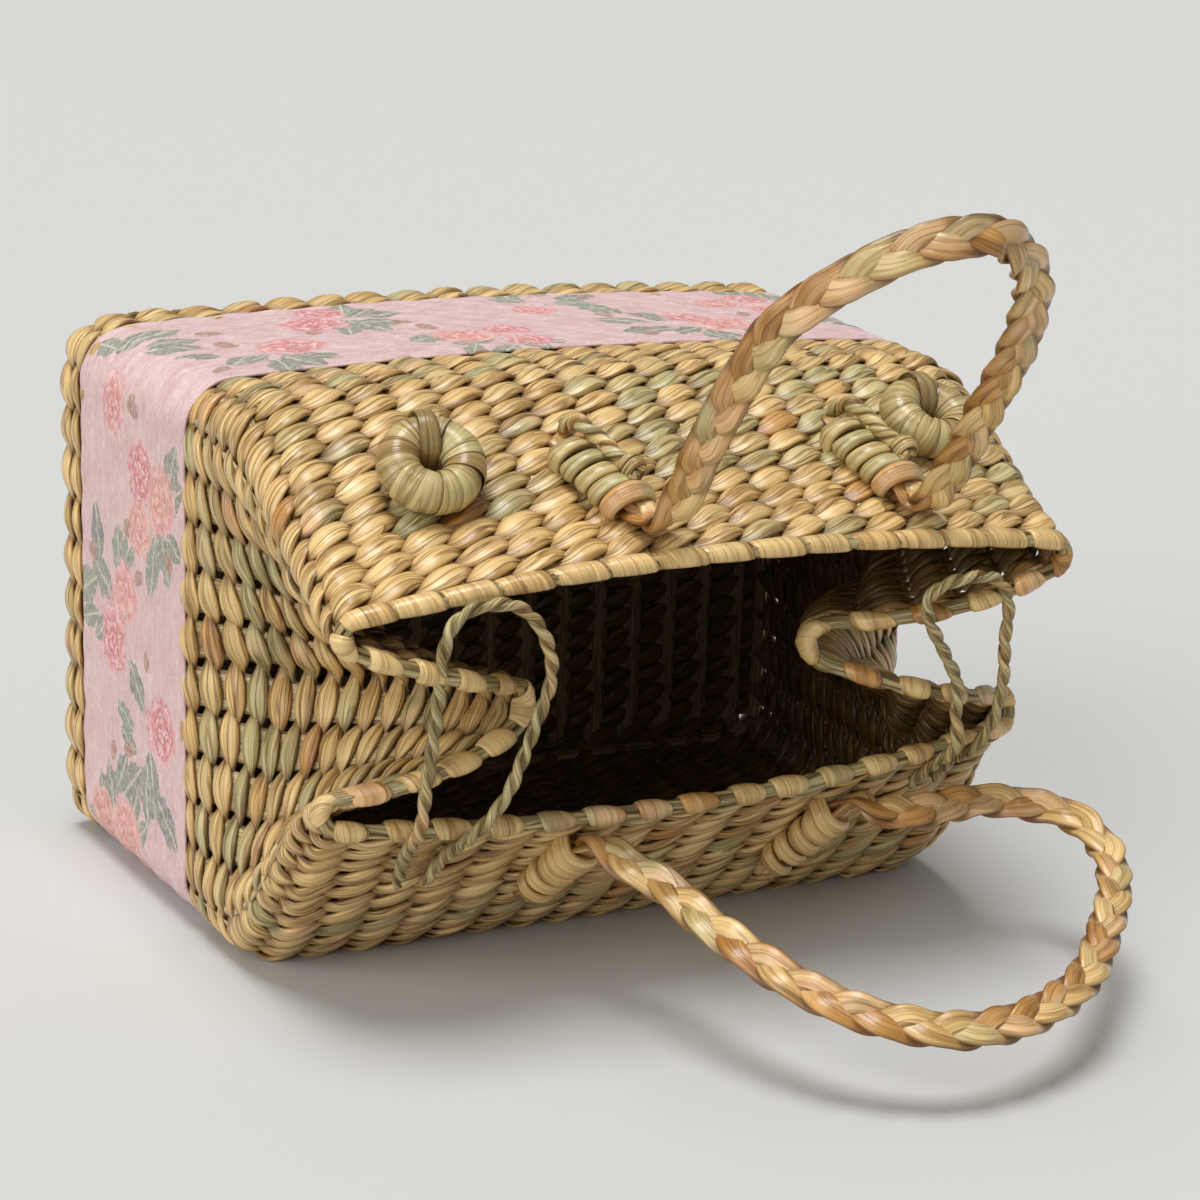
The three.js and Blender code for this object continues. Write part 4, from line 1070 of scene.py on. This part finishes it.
# %% Twisted ties
TIE_POINTS, TIE_DIAMETER, TIE_TWIST = 9, 7.4, 17
TIE_ROOT_ASIDE, TIE_ASIDE, TIE_DEPTH, TIE_CLIMB = 11.5, 7.5, 4.8, 14.5
KNOT_POINTS, KNOT_RADIUS, KNOT_PITCH, KNOT_WIDTH, KNOT_THICKNESS = 60, 4.0, 3.6, 5.2, 3.0
for number, end in enumerate(("left", "right")):
    rng = np.random.default_rng(95 + number)
    name = f"upper_tie_{end}"
    back = np.linspace(KNEE_ROOM + TAIL_LENGTH + 8, KNEE_ROOM + 14, TIE_POINTS)
    centre, wall_out = tail_line("upper", HANDLES["upper"], end, back)
    across = unit(np.cross(unit(centre[-1] - centre[0]), wall_out))
    across = across * np.sign(across[:, :1])
    climb = np.clip((np.arange(TIE_POINTS) + 0.2) / 2.2, 0, 1)[:, None]
    sway = 0.8 * np.sin(np.arange(TIE_POINTS) * 1.9 + number)[:, None]
    beside = mix(TIE_ROOT_ASIDE, TIE_ASIDE, climb) + sway
    path = smooth_route(centre + across * beside + wall_out * (TIE_CLIMB * climb - TIE_DEPTH), 90)
    out = wall_out.mean(axis=0)
    parts = twisted_cord(path, out, TIE_DIAMETER, TIE_TWIST, rng, 60 + number, (0.5, 0.7))
    knot_turn = np.linspace(0, 2 * TURN, KNOT_POINTS)[:, None]
    ahead = unit(path[88] - path[76])
    beside = unit(np.cross(ahead, out))
    ring = beside * np.cos(knot_turn) + np.cross(beside, ahead) * np.sin(knot_turn)
    knot = ahead * (knot_turn / TURN - 1) * KNOT_PITCH + ring * KNOT_RADIUS
    parts.append(strip(path[82] + knot, knot, KNOT_WIDTH, KNOT_THICKNESS, 0.62, 10, start=66 + number))
    make_piece(f"{name}_cord", parts, seagrass, replaces=[name])

# %% [markdown]
# ## Ring toggles
# Each toggle is a ring of bundled grass wound twelve times with a wide glossy blade, every turn covering
# the edge of the one before. The ring lies on the wall with its far edge lifted a little, held by a stitch
# that comes up through the hole.

# %% Rings
RING_RADIUS, RING_TUBE, CORE_TUBE, RING_TURNS, WINDING_HALF_ANGLE = 14.0, 9.0, 7.6, 12, 22.5
RING_SIDES, TUBE_SIDES, WINDING_POINTS, WINDING_THICKNESS = 72, 24, 560, 0.8
STITCH_POINTS, STITCH_WIDTH, STITCH_THICKNESS, STITCH_ROOM = 90, 8.5, 1.3, 1.9
RINGS = (("left", -112, 262, 9), ("right", 127, 256, 1))     # side, across, along, tilt in degrees
for number, (side, across_x, along, tilt) in enumerate(RINGS):
    lifted, flat = math.sin(math.radians(tilt)), math.cos(math.radians(tilt))
    point, normal, ahead = wall(place_of("upper", across_x, along), along)
    across = unit(np.cross(normal, ahead))
    back = unit(-ahead * flat + normal * lifted)
    axis = unit(np.cross(across, back))
    axis = axis * np.sign(axis @ normal)
    centre = point + normal * (RING_RADIUS * lifted + RING_TUBE + 0.6)

    def ring_core(around, tube, lift):
        """Torus: the ring's radius plus the lifted tube radius times cos tube, and axis times its sin."""
        reach = RING_RADIUS + (CORE_TUBE + lift) * np.cos(tube)
        parts = np.broadcast_arrays(reach * np.cos(around), reach * np.sin(around),
                                    (CORE_TUBE + lift) * np.sin(tube))
        return centre + np.stack(parts, axis=-1) @ np.array([across, back, axis])

    around, tube = np.arange(RING_SIDES + 1), np.arange(TUBE_SIDES + 1)
    points = ring_core(TURN / RING_SIDES * around[:-1, None], -TURN / TUBE_SIDES * tube[None, :-1], -0.2)
    # light=0.8 puts painted shade on the whole core, which shows between the winding's turns.
    core = grid_part(points, around * 1.3, tube * 1.6, True, tone=0.5, light=0.8)
    make_piece(f"ring_core_{side}", [core], glossy_blade, replaces=[f"ring_toggle_{side}"])

    turns = np.linspace(0, RING_TURNS - 0.05, WINDING_POINTS)
    wobble = 0.09 * np.sin(turns * 2.9 + number) + 0.05 * np.sin(turns * 7.3) + 0.10 * np.sin(turns * TURN)
    width = 2 * math.radians(WINDING_HALF_ANGLE) * (1 + 0.16 * np.sin(turns * 1.7 + number))
    tone = np.clip(0.42 + 0.3 * np.sin(turns * 0.9 + 2 * number) + 0.14 * np.sin(turns * 3.1), 0, 1)
    place = turns * TURN / RING_TURNS + wobble
    angle = -math.pi / 2 + turns * TURN
    blade = wound_blade(ring_core, place, angle, width, WINDING_THICKNESS, tone, 14, -0.55, 3 + number, 0.75)
    blade["corners"][:, 1] *= RING_RADIUS     # its width is an angle, so its fibre coordinate was one too
    make_piece(f"ring_blade_{side}", [blade], glossy_blade,
               replaces=[f"ring_winding_{side}"])

    clear = RING_TUBE + STITCH_ROOM
    tube_middle = centre + back * RING_RADIUS
    bow = np.linspace(0, math.pi, 9)[:, None]
    arc = tube_middle - back * clear * np.cos(bow) + axis * clear * np.sin(bow)
    arc = np.concatenate([arc[:1], arc, arc[-1:]])
    for last in (0, -1):
        arc[last] -= axis * ((arc[last] - point) @ normal - 1.2) / (axis @ normal)
    path = smooth_route(arc, STITCH_POINTS)
    facing = unit(path - (tube_middle + axis * ((path - tube_middle) @ axis)[:, None] * 0.6))
    width = STITCH_WIDTH + 0.8 * np.sin(np.linspace(0, 7, STITCH_POINTS))
    stitch = strip(path, facing, width, STITCH_THICKNESS, 0.45, start=130 + number)
    make_piece(f"toggle_stitch_{side}", [stitch], glossy_blade,
               replaces=[f"toggle_tie_{side}"])
    print(side, "ring", round(2 * (RING_RADIUS + RING_TUBE)), "mm across")

# %% [markdown]
# ## The printed paper band
# A band of thin printed paper is glued round the basket near the base and varnished, so it takes on the
# bumps of the rows under it and wrinkles a little. The print is roses, buds and leaves on pink. Each flower
# and leaf has its own small coordinates, which the mesh carries to the material, and the material draws
# petals and veins in them.

# %% Where the flowers lie
BAND_WIDTH = PAPER_END - PAPER_START
SPRAY_COUNT, FIRST_SPRAY = 22, 34.0
ROSE_REACH_ROUND, ROSE_REACH_ALONG = 17, 15
rng = np.random.default_rng(2024)
sprays = []          # place, along, heading, number of roses
for spray in range(SPRAY_COUNT):
    along = PAPER_START + BAND_WIDTH * (0.28 if spray % 2 else 0.70) + rng.uniform(-8, 8)
    heading = math.radians(rng.uniform(-60, 60) + 180 * (spray % 2))
    sprays.append((FIRST_SPRAY + spray * ROUND_LENGTH / SPRAY_COUNT, along, heading, 1 + spray % 3))
roses, leaves, buds, stems = [], [], [], []
for place, along, heading, count in sprays:
    for rose in range(count):
        angle = heading + (rose - (count - 1) / 2) * 1.9 + rng.uniform(-0.3, 0.3)
        size = rng.uniform(13, 20)
        roses.append((place + ROSE_REACH_ROUND * math.cos(angle), along + ROSE_REACH_ALONG * math.sin(angle),
                      size, angle, rng.random()))
    for leaf in range(rng.integers(5, 8)):
        angle = heading + math.pi + (leaf - 3.2) * 0.52 + rng.uniform(-0.2, 0.2)
        reach = rng.uniform(17, 36)
        leaves.append((place + reach * math.cos(angle), along + reach * math.sin(angle), rng.uniform(11, 18),
                       angle + rng.uniform(-0.5, 0.5), rng.random()))
    for bud in range(2):
        angle = heading + (bud - 1) * 1.4 + rng.uniform(-0.4, 0.4) + math.pi * bud
        reach = rng.uniform(34, 50)
        tip = (place + reach * math.cos(angle), along + 0.75 * reach * math.sin(angle))
        buds.append((*tip, rng.uniform(3.4, 5.2), angle, rng.random()))
        stems.append((place, along, *tip))
print(len(roses), "roses", len(leaves), "leaves", len(buds), "buds")

# %% Band grid
PLACE_LINES, BAND_LINES, BACK_LINES = 780, 96, 6
PAPER_LIFT, ROW_BUMP, LOBE_BUMP, WRINKLE, EDGE_WANDER = 0.75, 0.5, 0.28, 0.16, 0.8
BAND_SEAM = COLUMN_PLACE[LOWER_START] + BROAD_LENGTH / 2     # the paper's join lies on the floor


def crinkle(place, along):
    """Small wrinkles: a sum of waves in random directions, each wave bent by a slower one."""
    waves = np.random.default_rng(5)
    total = 0 * place
    for _ in range(14):
        angle, length = waves.uniform(-0.9, 0.9), waves.uniform(7, 30)
        travel = place * math.sin(angle) + along * math.cos(angle)
        bent = travel + 2.2 * np.sin(place / waves.uniform(9, 25) + waves.uniform(0, 6))
        total = total + np.sin(TURN * bent / length + waves.uniform(0, 6)) * length / 30
    return total / 3


def paper_height(place, along):
    """Height over the wall: a bump over each row and each lobe under the paper, plus wrinkles."""
    row = np.abs(np.sin(math.pi * along / ROW_PITCH)) ** 0.7
    odd = np.floor(along / ROW_PITCH) % 2
    lobe = np.cos(TURN * (place / STAKE_PITCH + odd / 2) - 1.6 * math.pi * (along / ROW_PITCH % 1))
    return PAPER_LIFT + ROW_BUMP * row + LOBE_BUMP * lobe * row + WRINKLE * crinkle(place, along)


band_place = BAND_SEAM + np.arange(PLACE_LINES) * ROUND_LENGTH / PLACE_LINES
band_along = np.append(np.linspace(PAPER_START, PAPER_END, BAND_LINES),
                       np.linspace(PAPER_END, PAPER_START, BACK_LINES))
full_place, full_along = np.meshgrid(band_place, band_along, indexing="ij")
on_front = np.arange(BAND_LINES + BACK_LINES) < BAND_LINES
edge_wave = np.sin(37 * TURN * full_place / ROUND_LENGTH) * np.sin(11 * TURN * full_place / ROUND_LENGTH)
from_middle = (full_along - PAPER_START) / BAND_WIDTH - 0.5
edge_shift = EDGE_WANDER * (2 * from_middle) ** 6 * (1 + edge_wave) * np.sign(from_middle)
full_along = full_along - on_front * edge_shift
band_points, band_out, _ = wall(full_place, full_along)
band_height = np.where(on_front, paper_height(full_place, full_along), 0.05)
band_points = band_points + band_out * band_height[..., None]


def nearest_print(items, shape):
    """For every point, the nearest item's own coordinates, x and y in its own size and its shade, and how
    far outside that item's outline the point is, where 1 is the outline itself."""
    reach = np.full(full_place.shape, 9.0)
    own = np.zeros((*full_place.shape, 3))
    for place, along, size, angle, shade in items:
        across, up = short_way(full_place - place), full_along - along
        x = (across * math.cos(angle) + up * math.sin(angle)) / size
        y = (up * math.cos(angle) - across * math.sin(angle)) / size
        outside = shape(x, y)
        nearer = outside < reach
        reach = np.where(nearer, outside, reach)
        own[nearer] = np.stack([x, y, shade + 0 * x], axis=-1)[nearer]
    return own, np.minimum(reach, 3.0)


rose_own, rose_reach = nearest_print(roses, lambda x, y: np.hypot(x, y * 1.12))
leaf_own, leaf_reach = nearest_print(leaves, lambda x, y: np.abs(y) / 0.52 + x * x)
_, bud_reach = nearest_print(buds, lambda x, y: np.hypot(x / 1.5, y))
stem_reach = np.full(full_place.shape, 30.0)
for begin_place, begin_along, end_place, end_along in stems:
    across, up = short_way(full_place - begin_place), full_along - begin_along
    run = np.array([end_place - begin_place, end_along - begin_along])
    share = np.clip((across * run[0] + up * run[1]) / (run @ run), 0, 1)
    bow = 4 * np.sin(math.pi * share)
    stem_reach = np.minimum(stem_reach, np.hypot(across - share * run[0] - bow, up - share * run[1] + bow))

band = grid_part(band_points, np.append(band_place, BAND_SEAM + ROUND_LENGTH),
                 np.append(full_along[0], PAPER_START), True, rose_reach=rose_reach, leaf_reach=leaf_reach,
                 bud_reach=bud_reach, stem_reach=stem_reach, rose_x=rose_own[..., 0], rose_y=rose_own[..., 1],
                 rose_shade=rose_own[..., 2], leaf_x=leaf_own[..., 0], leaf_y=leaf_own[..., 1],
                 leaf_shade=leaf_own[..., 2])
print("paper band", band_points.shape[:2], "points")

# %% [markdown]
# ## Printed and varnished paper
# The ground is a soft pink with paler flecks, streaked where the brush pulled the varnish: the flecks are
# partly the paper's fibres and partly painted highlights on the varnish's crinkles. A rose is a spiral: how
# far out plus how far round, cut into whole steps, makes petals that are dark inside and pale at their lips.
# Leaves are grey green with a light midrib and slanting veins. Everything is a little washed out, as print
# under old varnish is.

# %% Paper material
PINK_GROUND = [(0.30, (0.570, 0.325, 0.340)), (0.5, (0.665, 0.440, 0.440)), (0.70, (0.750, 0.600, 0.580))]
PETAL_COLOURS = [(0.0, (0.38, 0.035, 0.055)), (0.22, (0.58, 0.085, 0.11)), (0.5, (0.74, 0.25, 0.27)),
                 (0.78, (0.84, 0.50, 0.49)), (1.0, (0.88, 0.70, 0.66))]
WARM_PETAL, PALE_PETAL = (0.80, 0.42, 0.24), (0.84, 0.55, 0.55)
DARK_LEAF, GREEN_LEAF, WORN_LEAF = (0.035, 0.060, 0.050), (0.12, 0.18, 0.11), (0.32, 0.36, 0.28)
VEIN, MIDRIB, STEM = (0.42, 0.46, 0.33), (0.50, 0.50, 0.36), (0.30, 0.27, 0.16)
BUD_RED, BUD_GREEN, FIBRE_AND_GLINT_FLECKS = (0.62, 0.07, 0.10), (0.20, 0.24, 0.12), (0.80, 0.68, 0.65)

paper, shader, fibre, carried = new_material("varnished_printed_paper")
brush = fibre.noise((0.08, 0.30), 4)
cloud = fibre.noise((0.05, 0.055), 4)
speck = fibre.noise((0.9, 1.1), 3, 0.7)
wash = fibre.noise((0.16, 0.2), 4, 0.65)
fleck_noise = fibre.noise((0.28, 0.9), 5, 0.72)
wobble = wash - 0.5

rose_x, rose_y = carried("rose_x"), carried("rose_y")
rose_far = (rose_x * rose_x + rose_y * rose_y).apply("SQRT")
rose_turn = rose_y.apply("ARCTAN2", rose_x).apply("DIVIDE", TURN)
spiral = (rose_far + wobble * 0.95) * 3.0 + rose_turn
seam_angle = rose_turn * (2.5 * TURN) + spiral.apply("FLOOR") * 2.1
petals = (spiral.apply("FRACT") * abs(seam_angle.apply("SINE")) ** 0.35).ramp(PETAL_COLOURS)
rose = (carried("rose_shade") * 0.45).between(petals, WARM_PETAL)
rose = (rose_far ** 3.0 * 0.40).between(rose, PALE_PETAL)

leaf_side = abs(carried("leaf_y"))
veins = abs((carried("leaf_x") * 26.0 - leaf_side * 34.0).apply("SINE")) ** 0.5
leaf = carried("leaf_shade").between(DARK_LEAF, GREEN_LEAF)
for share, colour in ((wash.ranged(0.0, 0.45), WORN_LEAF), (veins * -0.6 + 0.6, VEIN),
                      (leaf_side.below(0.045, 0.03), MIDRIB)):
    leaf = share.between(leaf, colour)

printed = (cloud * 0.5 + brush * 0.5).ramp(PINK_GROUND)
for share, colour in ((carried("stem_reach").below(0.55, 0.3) * 0.75, STEM),
                      ((carried("leaf_reach") + wobble * 1.1).below(0.95, 0.06) * 0.88, leaf),
                      ((carried("bud_reach") + wobble * 0.5).below(0.95, 0.1) * 0.85,
                       wash.ranged(0.3, 0.9).between(BUD_RED, BUD_GREEN)),
                      ((carried("rose_reach") + wobble * 1.5).below(0.94, 0.06) * 0.9, rose),
                      # Paler flecks: partly paper fibres, partly painted highlights on the crinkles.
                      (fleck_noise.ranged(0.0, 0.66, 0.48, 0.62), FIBRE_AND_GLINT_FLECKS)):
    printed = share.between(printed, colour)
feed(shader, {"Base Color": printed.times(speck.ranged(0.88, 1.1)), "Roughness": brush.ranged(0.34, 0.62),
              "Normal": bumps((fleck_noise + wash * 0.8, 0.55, 0.6))})
make_piece("printed_paper_band", [on_the_floor(band)], paper, replaces=["paper_band"])

# %% [markdown]
# ## Floor, backdrop and light
# The basket lies on a pale grey studio floor. A wide soft lamp hangs above and another stands to the left.
# The sky all round is a plain pale grey: dim where it lights the basket, so that the mouth stays dark, and
# pale where the camera sees it past the floor's edge, as a studio backdrop is.

# %% Floor and light
FLOOR = 14.0
SKY_LIGHT, SKY_SEEN = 0.33, 0.86
floor_mesh = bpy.data.meshes.new("studio_floor")
floor_mesh.from_pydata([(-FLOOR, -FLOOR, 0), (FLOOR, -FLOOR, 0), (FLOOR, FLOOR, 0), (-FLOOR, FLOOR, 0)], [],
                       [(0, 1, 2, 3)])
floor = bpy.data.objects.new("studio_floor", floor_mesh)
scene.collection.objects.link(floor)
floor_paint, floor_shader, _, _ = new_material("pale_studio_paper")
feed(floor_shader, {"Base Color": (0.58, 0.58, 0.565), "Roughness": 0.9})
floor_mesh.materials.append(floor_paint)

world = bpy.data.worlds.new("studio_sky")
scene.world = world
world.use_nodes = True
to_camera = add_node(world.node_tree, "LightPath", "Is Camera Ray")
feed(world.node_tree.nodes["Background"], {"Color": (0.80, 0.80, 0.79),
                                           "Strength": to_camera.ranged(SKY_LIGHT, SKY_SEEN)})


def soft_light(name, toward, strength, angle):
    """A distant lamp as wide as a softbox: toward points from the basket to the lamp."""
    lamp = bpy.data.lights.new(name, "SUN")
    lamp.energy, lamp.angle = strength, math.radians(angle)
    holder = bpy.data.objects.new(name, lamp)
    scene.collection.objects.link(holder)
    back = Vector(toward).normalized()
    side = Vector((0, 1, 0)).cross(back).normalized()
    holder.matrix_world = Matrix((side, back.cross(side), back)).transposed().to_4x4()


soft_light("overhead_softbox", (-0.10, 0.02, 1.0), 2.3, 28)
soft_light("left_softbox", (-1.0, -0.45, 0.55), 1.6, 50)
